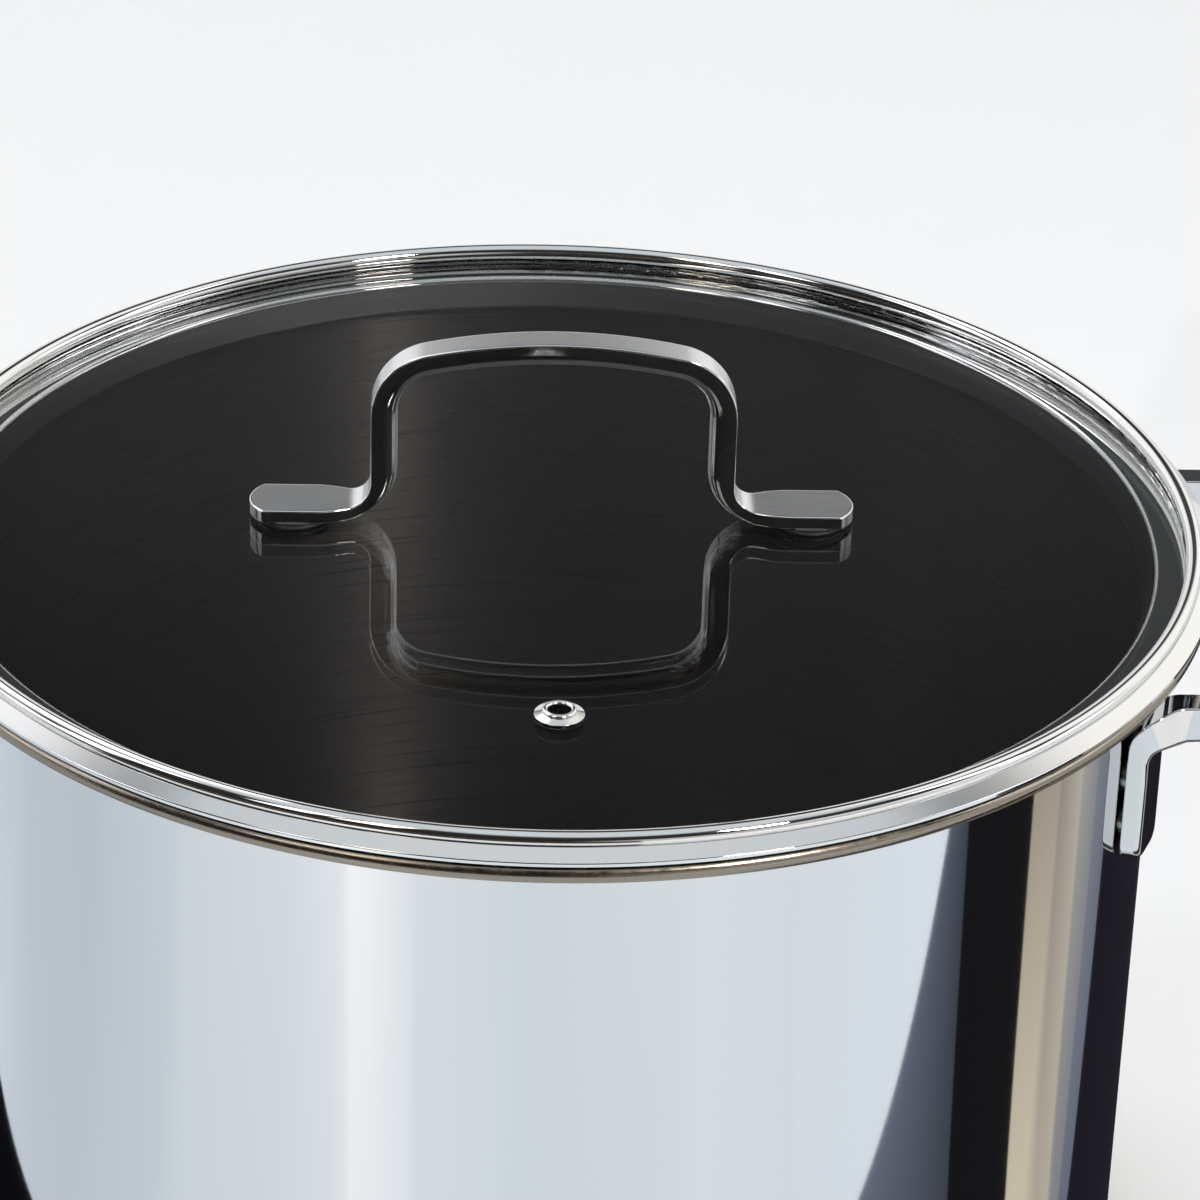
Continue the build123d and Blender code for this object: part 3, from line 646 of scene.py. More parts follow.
class STOCKPOT_OT_base(bpy.types.Operator):
    """Builds the cap under the heat-spreading base and finishes the core"""
    bl_idname = "stock_pot.base"
    bl_label = "Base"

    def execute(self, context):
        sizes = context.scene.stock_pot.pot
        low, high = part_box("base_cap")
        edge, inner = high.x, high.x - sizes.cap_sheet
        section = rounded(
            (0, low.z, 0), (edge, low.z, sizes.cap_edge), (edge, high.z - AIR, sizes.cap_lip),
            (inner, high.z - AIR, 0), (inner, low.z + sizes.cap_sheet, sizes.cap_edge - sizes.cap_sheet),
            (0, low.z + sizes.cap_sheet, 0))
        piece = turned("base_cap_turned", [section], [brushed_cap()])
        stands_for(piece, "pot", "cap_steel", "base_cap")
        finish_node(rolled_aluminium(), "base_core")
        return {"FINISHED"}


class STOCKPOT_OT_side_handles(bpy.types.Operator):
    """Builds the two welded bar handles and finishes their welds"""
    bl_idname = "stock_pot.side_handles"
    bl_label = "Side handles"

    def rings(self, sizes):
        """Rings from the foot's lower end to the middle of the bar, on the +Y side of the +X handle."""
        low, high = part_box("side_handle_right")
        pot = bpy.context.scene.stock_pot.pot
        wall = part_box("pot_body")[1].x - 2 * pot.rim_roll + (pot.sheet - pot.seat_width)
        face = wall + sizes.standoff
        out = Vector((cos(sizes.foot_angle), sin(sizes.foot_angle), 0))
        start = face * out
        half_foot, half_bar = sizes.foot_width / 2, sizes.bar_width / 2
        top, under = high.z, high.z - sizes.bar_height
        shoulder, bend_top = under - sizes.under_bend, top - sizes.bend
        foot_soft = sizes.foot_soft

        def at(level, reach):
            """Point this far out from the foot's wall side, on the line that turns from foot to bar."""
            turned_out = ease((reach - sizes.turn_from) / sizes.turn_over)
            place = start + reach * out.lerp(Vector((1, 0, 0)), turned_out)
            return Vector((place.x, place.y, level))

        def across(reach):
            """Direction across the bar at that reach."""
            turn = sizes.foot_angle * (1 - ease((reach - sizes.turn_from) / sizes.turn_over))
            return Vector((-sin(turn), cos(turn), 0))

        def halves(inner, outer):
            """Half widths where the wall side and the outer side have come this far out."""
            narrowing = half_foot - half_bar
            return (half_foot - narrowing * ease(inner / sizes.bend),
                    half_foot - narrowing * ease((outer - sizes.foot_thickness) / sizes.shoulder))

        rings = []
        for turn in quarter(8):
            level = low.z + sizes.foot_corner * (1 - cos(turn))
            half = half_foot - sizes.foot_corner * (1 - sin(turn))
            rings.append(station(at(level, 0), at(level, sizes.foot_thickness), across(0), (half, half),
                                 sizes.crisp, foot_soft, (0, 0, -1), (cos(turn), sin(turn))))
        for i in range(1, 5):
            level = low.z + sizes.foot_corner + (shoulder - low.z - sizes.foot_corner) * i / 4
            rings.append(station(at(level, 0), at(level, sizes.foot_thickness), across(0),
                                 (half_foot, half_foot), sizes.crisp, foot_soft))
        count, rise = 26, 0.3         # rings from foot to bar, and the share with a straight wall side
        for i in range(1, count + 1):
            part = i / count
            soft = foot_soft + (sizes.soft - foot_soft) * ease(part)
            if part < rise:
                inner = (shoulder + (bend_top - shoulder) * part / rise, 0.0)
            else:
                turn = radians(90 * (part - rise) / (1 - rise))
                inner = (bend_top + sizes.bend * sin(turn), sizes.bend * (1 - cos(turn)))
            turn = radians(90 * part)
            outer = (shoulder + sizes.under_bend * sin(turn),
                     sizes.foot_thickness + sizes.under_bend * (1 - cos(turn)))
            rings.append(station(at(*inner), at(*outer), across((inner[1] + outer[1]) / 2),
                                 halves(inner[1], outer[1]), sizes.crisp, soft))
        corner_x = high.x - sizes.corner
        corner_y = start.y + half_bar - sizes.corner
        inner_from, outer_from, reach_to = inner[1], outer[1], corner_x - start.x
        for i in range(1, 10):
            inner = inner_from + (reach_to - inner_from) * i / 9
            outer = outer_from + (reach_to - outer_from) * i / 9
            rings.append(station(at(top, inner), at(under, outer), across(outer), halves(inner, outer),
                                 sizes.crisp, sizes.soft))
        for i in range(1, 19):
            turn = radians(90 - 90 * i / 18)
            ray = Vector((cos(turn), sin(turn), 0))
            place = Vector((corner_x, corner_y, 0)) + (sizes.corner - half_bar) * ray
            rings.append(station((place.x, place.y, top), (place.x, place.y, under), ray,
                                 (half_bar, half_bar), sizes.crisp, sizes.soft))
        for i in range(1, 4):
            y = corner_y * (1 - i / 3)
            rings.append(station((high.x - half_bar, y, top), (high.x - half_bar, y, under), (1, 0, 0),
                                 (half_bar, half_bar), sizes.crisp, sizes.soft))
        return rings

    def execute(self, context):
        half = self.rings(context.scene.stock_pot.side)
        mirrored = [[Vector((p.x, -p.y, p.z)) for p in ring] for ring in half[-2::-1]]
        finishes = [polished_bar()] * 2
        for name, turn in (("right", 1), ("left", -1)):
            rings = [[Vector((turn * p.x, turn * p.y, p.z)) for p in ring] for ring in half + mirrored]
            piece = lofted("side_bar_" + name, rings, finishes)
            stands_for(piece, "pot", "bar_steel", "side_handle_" + name)
        finish_node(weld_steel(), "handle_welds_right", "handle_welds_left")
        return {"FINISHED"}


class STOCKPOT_OT_lid_glass(bpy.types.Operator):
    """Finishes the lid's glass"""
    bl_idname = "stock_pot.lid_glass"
    bl_label = "Lid glass"

    def execute(self, context):
        finish_node(tempered_glass(), "lid_glass")
        return {"FINISHED"}


class STOCKPOT_OT_lid_band(bpy.types.Operator):
    """Builds the steel band round the glass"""
    bl_idname = "stock_pot.lid_band"
    bl_label = "Lid band"

    def execute(self, context):
        sizes = context.scene.stock_pot.band
        low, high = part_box("lid_band")
        glass_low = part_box("lid_glass")[0]
        channel = high.x - sizes.reach
        centre = Vector((channel, high.z - sizes.roll))
        glass_under = glass_low.z - AIR
        lip_under = glass_low.z - sizes.sheet
        lean = degrees(sizes.skirt_lean)
        fold = Vector((channel - sizes.lip_width + sizes.lip_bend, glass_low.z - sizes.lip_bend))
        out = Vector((cos(sizes.skirt_lean), -sin(sizes.skirt_lean)))
        down = Vector((-sin(sizes.skirt_lean), -cos(sizes.skirt_lean)))
        face = fold - sizes.lip_bend * out
        half_hem = sizes.skirt_hem / 2
        hem = face + half_hem * out
        hem += down * (hem.y - half_hem - low.z) / -down.y
        foot = hem - half_hem * out
        hem_top = hem + half_hem * out - sizes.hem_height * down
        crease_angle = -degrees(asin(sizes.crease_drop / sizes.roll))
        root_angle = -degrees(asin((sizes.crease_drop + sizes.hem) / sizes.roll))
        crease = centre + sizes.roll * Vector((cos(radians(crease_angle)), sin(radians(crease_angle))))
        root = centre + sizes.roll * Vector((cos(radians(root_angle)), sin(radians(root_angle))))
        edge_top = crease.y - sizes.fall
        edge_bottom = edge_top - sizes.lip
        skirt = [
            bend(hem, half_hem, 180 - lean, 180, step=12),
            straight(hem + half_hem * out, hem_top),
            straight(hem_top, hem_top - (sizes.skirt_hem - sizes.sheet) * out),
            straight(hem_top - (sizes.skirt_hem - sizes.sheet) * out,
                     fold - (sizes.lip_bend - sizes.sheet) * out),
            bend(fold, sizes.lip_bend - sizes.sheet, 180 - lean, lean - 90, step=10),
        ]
        below = rounded(
            (fold.x, lip_under, 0), (channel, lip_under, sizes.lip_corner),
            (channel, centre.y - sizes.roll, 0))
        under_roll = [bend(centre, sizes.roll, -90, root_angle + 90)]
        flange = rounded(
            (root.x, root.y, 0), (high.x - sizes.hem, edge_top - sizes.hem / 4, sizes.edge_round),
            (high.x - sizes.hem, edge_bottom, sizes.edge_inside), (high.x, edge_bottom, sizes.edge_round),
            (high.x, edge_top, sizes.edge_crown), (crease.x, crease.y, 0))
        last_angle = 270 - degrees(asin(sizes.sheet / sizes.roll))
        crest = [bend(centre, sizes.roll, crease_angle, last_angle - crease_angle, step=3)]
        channel_face = [
            straight(crest[0][-1][0], (channel - sizes.sheet, glass_under)),
            straight((channel - sizes.sheet, glass_under), (fold.x, glass_under)),
            bend(fold, sizes.lip_bend - AIR, 90, 90 - lean, step=5),
        ]
        skirt_face = [straight(fold - (sizes.lip_bend - AIR) * out, foot)]
        polished = skirt + below + under_roll + flange + crest + channel_face
        piece = turned("lid_rim_band", [polished, skirt_face], [polished_band(), strip_inside()])
        stands_for(piece, "lid", "band_steel", "lid_band")
        return {"FINISHED"}


class STOCKPOT_OT_lid_handle(bpy.types.Operator):
    """Builds the arched bar handle on the lid"""
    bl_idname = "stock_pot.lid_handle"
    bl_label = "Lid handle"

    def rings(self, sizes):
        """Rings from the +X tip to the middle of the arch."""
        low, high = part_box("lid_handle")
        foot_under, foot_top = low.z, low.z + sizes.foot_thickness
        tip = high.x
        half_foot, half_bar = sizes.foot_width / 2, sizes.width / 2
        tip_x = tip - sizes.foot_tip
        corner_y = half_foot - sizes.foot_corner
        tip_turn = asin(corner_y / (sizes.foot_tip - sizes.foot_corner))
        round_x = tip_x + (sizes.foot_tip - sizes.foot_corner) * cos(tip_turn)
        leg_out = sizes.loop_width / 2
        leg_in = leg_out - sizes.thickness
        neck, foot_end = leg_out - sizes.neck, leg_out + sizes.taper
        bend_x, under_x = leg_out + sizes.bend, leg_in + sizes.under_bend
        arch_level = high.z - sizes.arch
        corner_x = leg_out - sizes.corner
        corner_rise = sqrt((sizes.arch - sizes.corner) ** 2 - corner_x ** 2)
        corner_level, span = arch_level + corner_rise, atan2(corner_rise, corner_x)
        foot_soft = sizes.foot_soft
        rings = []

        def half_at(x):
            """Half width of the bar or foot at x."""
            return half_bar + (half_foot - half_bar) * ease((x - neck) / (foot_end - neck))

        def ring(top, under, soft, along=(0, 0, 0), slant=(0.0, 1.0), half=None):
            """Adds a ring from the (x, z) of the middles of its two faces."""
            halves = (half, half) if half is not None else (half_at(top[0]), half_at(under[0]))
            rings.append(station((top[0], 0, top[1]), (under[0], 0, under[1]), (0, 1, 0), halves,
                                 sizes.bevel, soft, along, slant))

        for i in range(19):
            if i < 13:
                turn = tip_turn * i / 12
                x, half = tip_x + sizes.foot_tip * cos(turn), sizes.foot_tip * sin(turn)
            else:
                turn = tip_turn + (pi / 2 - tip_turn) * (i - 12) / 6
                x = round_x + sizes.foot_corner * cos(turn)
                half = corner_y + sizes.foot_corner * sin(turn)
            ring((x, foot_top), (x, foot_under), foot_soft, (1, 0, 0), (cos(turn), sin(turn)), half)
        for i in range(1, 7):
            part = i / 6
            ring((round_x + (bend_x - round_x) * part, foot_top),
                 (round_x + (under_x - round_x) * part, foot_under), foot_soft)
        for i in range(1, 21):
            part = i / 20
            turn = radians(270 - 90 * part)
            ring((bend_x + sizes.bend * cos(turn), foot_top + sizes.bend * (1 + sin(turn))),
                 (under_x + sizes.under_bend * cos(turn), foot_under + sizes.under_bend * (1 + sin(turn))),
                 foot_soft + (sizes.soft - foot_soft) * ease(part))
        leg_top, leg_under = foot_top + sizes.bend, foot_under + sizes.under_bend
        for i in range(1, 5):
            part = i / 4
            ring((leg_out, leg_top + (corner_level - leg_top) * part),
                 (leg_in, leg_under + (corner_level - leg_under) * part), sizes.soft)
        for i in range(1, 25):
            turn = span * i / 24
            inner = sizes.corner - sizes.thickness
            ring((corner_x + sizes.corner * cos(turn), corner_level + sizes.corner * sin(turn)),
                 (corner_x + inner * cos(turn), corner_level + inner * sin(turn)), sizes.soft)
        for i in range(1, 9):
            turn = span + (pi / 2 - span) * i / 8
            inner = sizes.arch - sizes.thickness
            ring((sizes.arch * cos(turn), arch_level + sizes.arch * sin(turn)),
                 (inner * cos(turn), arch_level + inner * sin(turn)), sizes.soft)
        return rings

    def execute(self, context):
        half = self.rings(context.scene.stock_pot.handle)
        mirrored = [[Vector((-p.x, p.y, p.z)) for p in ring] for ring in half[-2::-1]]
        piece = lofted("lid_bar", half + mirrored, [polished_bar(), brushed_bar_face()])
        stands_for(piece, "lid", "bar_steel", "lid_handle")
        return {"FINISHED"}


class STOCKPOT_OT_fixings(bpy.types.Operator):
    """Builds the bosses and washers under the lid handle and finishes the screws"""
    bl_idname = "stock_pot.fixings"
    bl_label = "Handle fixings"

    def execute(self, context):
        sizes = context.scene.stock_pot.handle
        metal, rubber = pressed_small_steel(), moulded_silicone()
        for side in ("left", "right"):
            low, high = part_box("handle_washer_" + side)
            centre = ((low.x + high.x) / 2, 0.0)
            radius, rounding = (high.x - low.x) / 2, sizes.washer_rounding
            boss_low, boss_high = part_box("handle_boss_" + side)
            boss = (boss_high.x - boss_low.x) / 2
            bore, barrel = sizes.bore, sizes.barrel
            section = rounded(
                (barrel + AIR, low.z + AIR, 0), (radius, low.z + AIR, rounding),
                (radius, high.z, rounding), (barrel + AIR, high.z, 0), (barrel + AIR, low.z + AIR, 0))
            washer = turned("silicone_washer_" + side, [section], [rubber], centre, SMALL_TURN_STEPS)
            stands_for(washer, "lid", "silicone", "handle_washer_" + side)
            section = rounded(
                (bore, boss_low.z, 0), (barrel, boss_low.z, 0), (barrel, high.z + AIR, 0),
                (boss, high.z + AIR, sizes.boss_rounding), (boss, boss_high.z, 0), (bore, boss_high.z, 0),
                (bore, boss_low.z, 0))
            piece = turned("boss_" + side, [section], [metal], centre, SMALL_TURN_STEPS)
            stands_for(piece, "lid", "fixing_steel", "handle_boss_" + side)
            finish_node(rubber, "under_washer_" + side)
            finish_node(metal, "under_cup_" + side, "handle_screw_" + side)
        return {"FINISHED"}


class STOCKPOT_OT_vent(bpy.types.Operator):
    """Builds the steam vent's eyelet and gasket"""
    bl_idname = "stock_pot.vent"
    bl_label = "Steam vent"

    def execute(self, context):
        sizes = context.scene.stock_pot.vent
        low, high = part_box("vent_eyelet")
        gasket_low, gasket_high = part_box("vent_gasket")
        centre = ((low.x + high.x) / 2, (low.y + high.y) / 2)
        flange = (high.x - low.x) / 2
        base, crest = gasket_high.z, high.z
        crown = (sizes.hole + sizes.collar) / 2
        half = (sizes.collar - sizes.hole) / 2
        rise = crest - base - sizes.collar_foot
        swell = (half ** 2 + rise ** 2) / (2 * rise)
        swell_centre = (crown, crest - swell)
        first = degrees(atan2(base + sizes.collar_foot - swell_centre[1], half))
        section = rounded(
            (sizes.barrel, base, 0), (flange, base, sizes.flange_under),
            (flange, base + sizes.edge, sizes.flange_top), (sizes.collar, base + sizes.collar_foot, 0))
        section.append(bend(swell_centre, swell, first, 180 - 2 * first))
        section += rounded(
            (sizes.hole, base + sizes.collar_foot, 0), (sizes.hole, low.z, sizes.throat),
            (sizes.curl, low.z, sizes.curl_under), (sizes.curl, low.z + sizes.curl_sheet, sizes.curl_top),
            (sizes.barrel, low.z + sizes.curl_sheet, 0), (sizes.barrel, base, 0))
        metal = pressed_small_steel()
        piece = turned("eyelet", [section], [metal], centre, SMALL_TURN_STEPS)
        stands_for(piece, "lid", "vent_steel", "vent_eyelet")
        edge = (gasket_high.x - gasket_low.x) / 2
        section = rounded(
            (sizes.barrel + AIR, gasket_low.z + AIR, 0), (edge, gasket_low.z + AIR, sizes.gasket_round),
            (edge, base - AIR, sizes.gasket_round), (sizes.barrel + AIR, base - AIR, 0),
            (sizes.barrel + AIR, gasket_low.z + AIR, 0))
        gasket = turned("eyelet_gasket", [section], [moulded_silicone()], centre, SMALL_TURN_STEPS)
        stands_for(gasket, "lid", "silicone", "vent_gasket")
        finish_node(metal, "vent_ring")
        return {"FINISHED"}


# --- stage ------------------------------------------------------------------
FLOOR_HALF = 12.0             # half the floor's side
FLOOR_GAP = 0.2 * MM          # floor below the base
ROOM_LEVEL = 0.5 * MM         # heights of the cards for the room's floor, the counter and the hob
COUNTER_LEVEL = 1.0 * MM
HOB_LEVEL = 1.5 * MM


def flat_card(name, corners, faces, tones, strength):
    """Glowing card that only polished metal shows, a painted reflection: it lights nothing, throws no
    shadow and hides from the camera. Each corner of each face has its tone."""
    mesh = bpy.data.meshes.new(name)
    mesh.from_pydata(corners, [], faces)
    paint = mesh.color_attributes.new("Tone", "FLOAT_COLOR", "CORNER")
    for corner, code in zip(paint.data, tones):
        corner.color = tint(linear(code))
    card = bpy.data.objects.new(name, mesh)
    bpy.context.scene.collection.objects.link(card)
    material, tree, output = new_material(name)
    tone = add(tree, "VertexColor", layer_name="Tone").outputs["Color"]
    glow = add(tree, "Emission", {"Color": tone, "Strength": strength})
    tree.links.new(glow.outputs[0], output.inputs["Surface"])
    mesh.materials.append(material)
    card.visible_camera = False
    card.visible_diffuse = False
    card.visible_shadow = False
    card.visible_transmission = False


class STOCKPOT_OT_stage(bpy.types.Operator):
    """Sets the camera, the pale floor, the soft lamps and the studio round the pot"""
    bl_idname = "stock_pot.stage"
    bl_label = "Stage"

    def camera(self, settings):
        """Camera that looks down on the front of the pot."""
        data = bpy.data.cameras.new("Camera")
        data.sensor_width = 36.0
        data.lens = settings.lens
        data.clip_start, data.clip_end = 0.01, 50.0
        camera = bpy.data.objects.new("Camera", data)
        bpy.context.scene.collection.objects.link(camera)
        pan, pitch, roll = settings.camera_pan, settings.camera_pitch, settings.camera_roll
        ahead = Vector((sin(pan) * cos(pitch), cos(pan) * cos(pitch), -sin(pitch)))
        right = ahead.cross(Vector((0, 0, 1))).normalized()
        up = right.cross(ahead)
        across = cos(roll) * right + sin(roll) * up
        above = cos(roll) * up - sin(roll) * right
        axes = Matrix((across, above, -ahead)).transposed().to_4x4()
        camera.matrix_world = Matrix.Translation(Vector(settings.camera_place)) @ axes
        bpy.context.scene.camera = camera

    def floor(self, settings):
        """Plain pale floor, just under the pot."""
        mesh = bpy.data.meshes.new("floor")
        half = FLOOR_HALF
        mesh.from_pydata([(-half, -half, 0), (half, -half, 0), (half, half, 0), (-half, half, 0)], [],
                         [(0, 1, 2, 3)])
        floor = bpy.data.objects.new("floor", mesh)
        bpy.context.scene.collection.objects.link(floor)
        material, tree, output = new_material("Pale laminate, matt")
        place = add(tree, "TexCoord").outputs["Object"]
        mottle = add(tree, "TexNoise", {"Vector": place, "Scale": 1 / (25 * MM), "Detail": 3.0}
                     ).outputs["Fac"]
        matt = add(tree, "MapRange", {**NOISE_SPAN, "Value": mottle, "To Min": 0.5, "To Max": 0.6})
        shader = add(tree, "BsdfPrincipled", {"Base Color": tint(settings.floor),
                                              "Roughness": matt.outputs["Result"]})
        tree.links.new(shader.outputs[0], output.inputs["Surface"])
        mesh.materials.append(material)
        floor.location.z = -FLOOR_GAP

    def lamp(self, name, place, size, watts, rgb=(1.0, 1.0, 1.0)):
        """Round soft lamp aimed at the pot's middle."""
        data = bpy.data.lights.new(name, "AREA")
        data.shape = "DISK"
        data.size = size
        data.energy = watts
        data.color = rgb
        lamp = bpy.data.objects.new(name, data)
        bpy.context.scene.collection.objects.link(lamp)
        lamp.location = place
        lamp.rotation_mode = "QUATERNION"
        lamp.rotation_quaternion = (Vector((0, 0, 0.15)) - Vector(place)).to_track_quat("-Z", "Y")

    def world(self):
        """Soft light from a room: a white wall behind, windows and a dim front. The camera sees white."""
        world = bpy.data.worlds.new("Studio")
        bpy.context.scene.world = world
        world.use_nodes = True
        tree = world.node_tree
        tree.nodes.clear()
        aim = add(tree, "TexCoord").outputs["Generated"]
        parts = add(tree, "SeparateXYZ", {0: aim}).outputs

        # colours by height, from level (0) to straight up (1)
        behind = ((0.0, "#ffffff"), (0.385, "#fdfdfd"), (0.402, "#525457"), (0.47, "#484a4c"),
                  (0.56, "#37383a"), (0.76, "#3c3e42"), (0.88, "#dfe6ec"), (1.0, "#e8edf1"))
        in_front = ((0.0, "#3d352e"), (0.10, "#37322d"), (0.3, "#2c2a28"), (0.74, "#3a3a3a"),
                    (0.9, "#d5dde5"), (1.0, "#e8edf1"))
        # behind and beside: a white wall up to 23 degrees, then a dark upper room; in front: the unlit
        # room; above both a soft light ceiling
        halves = []
        for stops in (behind, in_front):
            node = add(tree, "ValToRGB", {0: parts["Z"]})
            elements = node.color_ramp.elements
            elements[0].position, elements[0].color = stops[0][0], tint(linear(stops[0][1]))
            elements[1].position, elements[1].color = stops[-1][0], tint(linear(stops[-1][1]))
            for height, code in stops[1:-1]:
                elements.new(height).color = tint(linear(code))
            halves.append(node.outputs[0])
        # the front room lies a little to the left, and blends in over some degrees
        toward = add(tree, "VectorMath", {0: aim, 1: (-0.45, -0.89, 0.0)}, operation="DOT_PRODUCT")
        where = add(tree, "MapRange", {"Value": toward.outputs["Value"], "From Min": 0.35,
                                       "From Max": 0.55}).outputs["Result"]
        glow = add(tree, "Mix", {"Factor": where, "A": halves[0], "B": halves[1]},
                   data_type="RGBA").outputs["Result"]
        level = add(tree, "CombineXYZ", {"X": parts["X"], "Y": parts["Y"]}).outputs[0]
        level = add(tree, "VectorMath", {0: level}, operation="NORMALIZE").outputs["Vector"]
        # soft windows: degrees round from +X, half width in degrees, lower and upper height, colour and
        # strength
        windows = (
            # beside the pot, low
            (4, 12, 0.26, 0.46, "#fbfcff", 3.0),
            (178, 12, 0.26, 0.46, "#fbfcff", 3.0),
            # behind it on both sides, tall
            (45, 22, 0.05, 0.90, "#fdfbf7", 1.3),
            (133, 22, 0.05, 0.90, "#fbfcff", 1.3),
            # in front on the right, low and dim
            (305, 24, -0.10, 0.24, "#f3f0ea", 0.75),
            # beside the pot, high
            (356, 6, 0.52, 0.80, "#ffffff", 4.5),
            (181, 7, 0.52, 0.80, "#f6f8ff", 4.5),
            # in front on the left, high and narrow
            (237, 5, 0.52, 0.80, "#fff0e0", 4.5),
            (221, 5, 0.52, 0.80, "#ffffff", 4.0),
        )
        for turn, half, low, high, code, strength in windows:
            facing = add(tree, "VectorMath", {0: level, 1: (cos(radians(turn)), sin(radians(turn)), 0.0)},
                         operation="DOT_PRODUCT").outputs["Value"]
            amount = add(tree, "MapRange", {"Value": facing, "From Min": cos(radians(1.4 * half)),
                                            "From Max": cos(radians(0.5 * half))},
                         interpolation_type="SMOOTHSTEP").outputs["Result"]
            for edge, blur in ((low, 0.05), (high, -0.05)):
                inside = add(tree, "MapRange", {"Value": parts["Z"], "From Min": edge - blur,
                                                "From Max": edge + blur},
                             interpolation_type="SMOOTHSTEP").outputs["Result"]
                amount = add(tree, "Math", {0: amount, 1: inside}, operation="MULTIPLY").outputs[0]
            glow = add(tree, "Mix", {"Factor": amount, "A": glow,
                                     "B": tint([strength * c for c in linear(code)])},
                       data_type="RGBA").outputs["Result"]
        camera_ray = add(tree, "LightPath").outputs["Is Camera Ray"]
        shown = add(tree, "Background", {"Color": (1, 1, 1, 1), "Strength": 1.0}).outputs[0]
        lit = add(tree, "Background", {"Strength": 1.0})
        tree.links.new(glow, lit.inputs["Color"])
        mixed = add(tree, "MixShader", {0: camera_ray, 1: lit.outputs[0], 2: shown})
        output = add(tree, "OutputWorld")
        tree.links.new(mixed.outputs[0], output.inputs["Surface"])

    def counter(self):
        """Glowing cards round the front of the pot: painted reflections that give the polished wall its
        bands. Each line runs out from the pot. It has one tone, or a tone at its near and its far end, or
        such a pair before it and another after it."""
        lines = (
            ((-0.144, 0.000), (-0.500, 0.300), "#c4ced4"),
            ((-0.139, -0.057), (-0.590, 0.110), "#bbc2ca"),
            ((-0.119, -0.091), (-0.591, -0.105), "#bfc8d0", "#b8c1c9"),
            ((-0.096, -0.115), (-0.533, -0.275), "#ccd4d8"),
            ((-0.062, -0.136), (-0.391, -0.455), "#d2dade", "#dde1e5"),
            ((-0.051, -0.141), (-0.339, -0.495), "#d9dee2", "#e8ebed"),
            ((-0.048, -0.142), (-0.325, -0.505), "#e2e8ec", "#fcfcfc"),
            ((-0.043, -0.144), (-0.300, -0.519), "#e4e8ec", "#f7f8f9"),
            ((-0.029, -0.147), (-0.225, -0.556), "#d4dce0", "#dbdfe3"),
            ((0.001, -0.150), (-0.061, -0.597), "#ced6d9"),
            ((0.052, -0.141), (0.227, -0.556), "#d6dde1", "#dadfe3"),
            ((0.079, -0.128), (0.374, -0.469), "#d0d8dc", "#d4dbdf"),
            ((0.085, -0.190), (0.500, -0.172), "#d5dce2", "#dbe2ea", "#6a7080", "#545c6b"),
            ((0.106, -0.106), (0.500, -0.163), "#3b3f49", "#3b424c", "#161618", "#161618"),
            ((0.121, -0.089), (0.600, -0.003), "#1a1819", "#181719", "#d3c7b1", "#5e5852"),
            ((0.121, -0.075), (0.560, 0.070), "#b1a899", "#77726c"),
            ((0.128, -0.070), (0.560, 0.150), "#95948f", "#aca89d"),
            ((0.130, -0.072), (0.550, 0.220), "#797c80", "#87878c"),
            ((0.132, -0.071), (0.530, 0.282), "#5f6575", "#69707c", "#1b1a20", "#1b1a20"),
            ((0.142, 0.050), (0.350, 0.480), "#232228"),
        )
        corners, tones, faces = [], [], []
        for (near, far, *before), (next_near, next_far, *after) in zip(lines, lines[1:]):
            first = len(corners)
            corners += [near, next_near, next_far, far]
            before, after = before * (4 // len(before)), after * (4 // len(after))
            tones += [before[2], after[0], after[1], before[3]]
            faces.append((first, first + 1, first + 2, first + 3))
        # the counter: glowing painted reflections, seen only in the polished wall
        flat_card("counter_reflection_card", [(x, y, COUNTER_LEVEL) for x, y in corners], faces, tones,
                  strength=1.45)
        # beside the pot, a dark glowing card: a painted reflection of a hob under the pot
        hob = ((-0.170, -0.082), (-0.250, 0.063), (-0.250, 0.160), (-0.130, 0.100),
               (0.142, 0.050), (0.350, 0.480), (0.240, 0.560), (0.100, 0.120))
        flat_card("hob_reflection_card", [(x, y, HOB_LEVEL) for x, y in hob], [(0, 1, 2, 3), (4, 5, 6, 7)],
                  ["#0d0e12"] * 4 + ["#1b1a20"] * 4, strength=1.0)
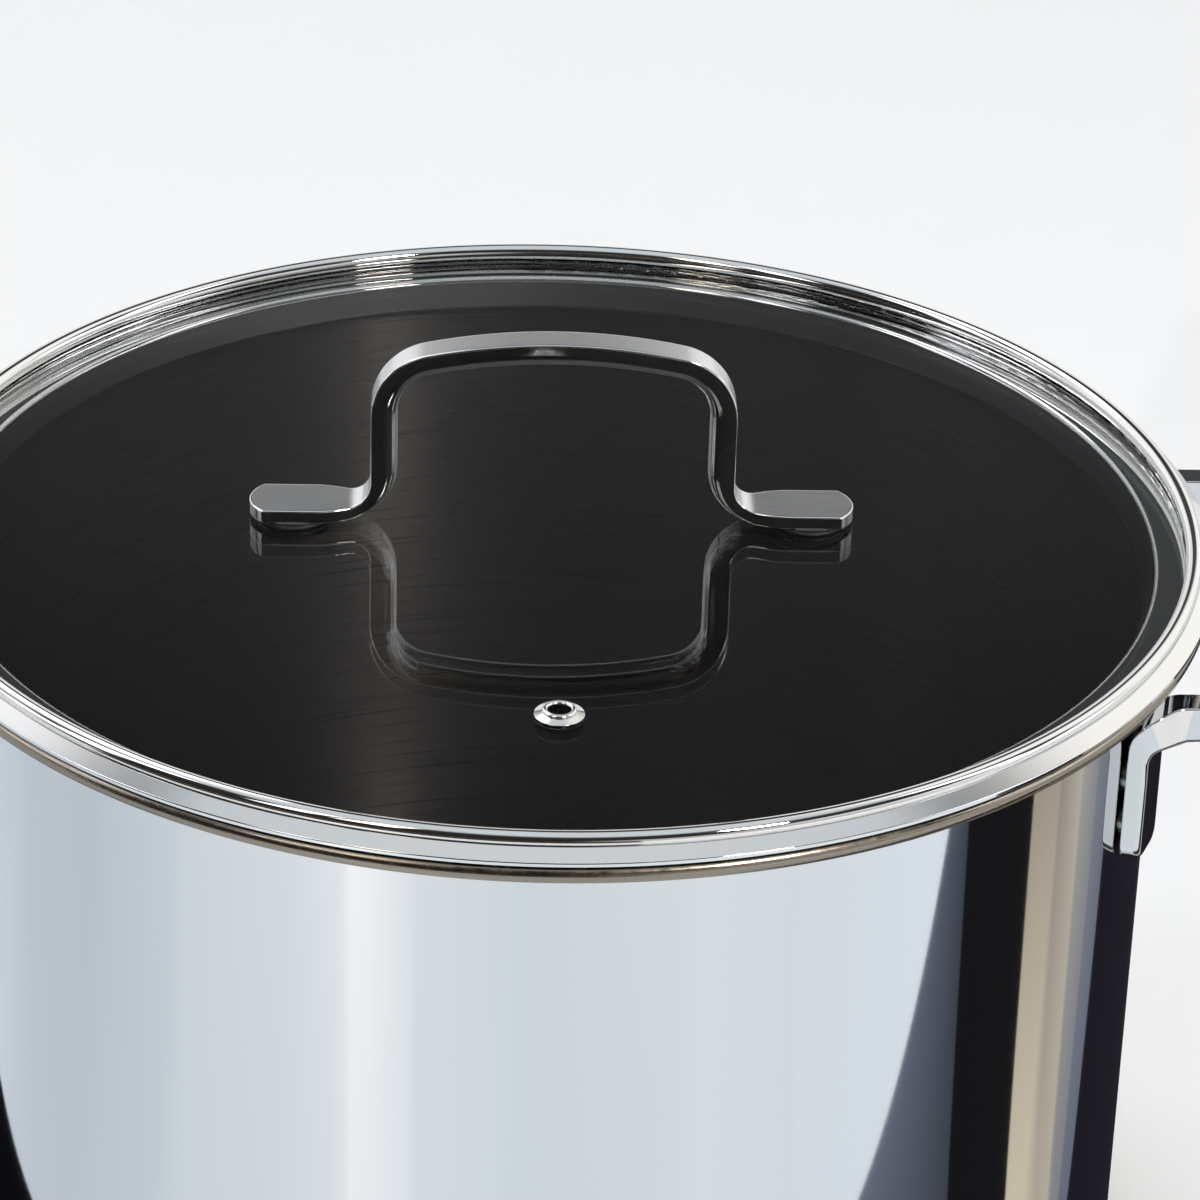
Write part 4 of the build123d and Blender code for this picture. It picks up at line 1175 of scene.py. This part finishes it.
        # beyond the counter, a glowing card: a painted reflection of the unlit room's floor
        corners, tones, faces = [], [], []
        near, far, start, step = 0.75, 9.0, 195, 11
        for i in range(8):
            turn, onward = radians(start + step * i), radians(start + step * (i + 1))
            corners += [(reach * cos(t), reach * sin(t), ROOM_LEVEL) for reach, t in (
                (near, turn), (near, onward), (far, onward), (far, turn))]
            tones += ["#4a4038", "#4a4038", "#3d352e", "#3d352e"]
            faces.append((4 * i, 4 * i + 1, 4 * i + 2, 4 * i + 3))
        flat_card("room_floor_reflection_card", corners, faces, tones, strength=1.0)

    def execute(self, context):
        settings = context.scene.stock_pot.stage
        context.scene.view_settings.view_transform = "Standard"
        self.camera(settings)
        self.floor(settings)
        self.lamp("key", (-0.75, 1.15, 1.7), size=0.9, watts=6.0)
        # the small warm fill shines through the glass and draws a streak down the brushed inside
        self.lamp("fill", (0.8, -1.14, 1.25), size=0.3, watts=17.0, rgb=(1.0, 0.92, 0.84))
        self.world()
        self.counter()
        return {"FINISHED"}


class STOCKPOT_PT_sidebar(bpy.types.Panel):
    """Lists the stock pot's pieces"""
    bl_idname = "STOCKPOT_PT_sidebar"
    bl_label = "Stock pot"
    bl_space_type = "VIEW_3D"
    bl_region_type = "UI"
    bl_category = "Stock Pot"

    def draw(self, context):
        for operator in OPERATORS:
            self.layout.operator(operator.bl_idname)


SETTINGS = (PotSizes, SideHandleSizes, LidBandSizes, LidHandleSizes, VentSizes, Finishes, StageSettings,
            StockPot)
OPERATORS = (STOCKPOT_OT_stage, STOCKPOT_OT_shell, STOCKPOT_OT_base, STOCKPOT_OT_side_handles,
             STOCKPOT_OT_lid_glass, STOCKPOT_OT_lid_band, STOCKPOT_OT_lid_handle, STOCKPOT_OT_fixings,
             STOCKPOT_OT_vent)
CLASSES = SETTINGS + OPERATORS + (STOCKPOT_PT_sidebar,)


def register():
    for item in CLASSES:
        bpy.utils.register_class(item)
    bpy.types.Scene.stock_pot = PointerProperty(type=StockPot)


def unregister():
    del bpy.types.Scene.stock_pot
    for item in reversed(CLASSES):
        bpy.utils.unregister_class(item)


def main():
    """Builds every piece and the stage."""
    register()
    for operator in OPERATORS:
        group, name = operator.bl_idname.split(".")
        getattr(getattr(bpy.ops, group), name)()


if __name__ == "__main__":
    main()
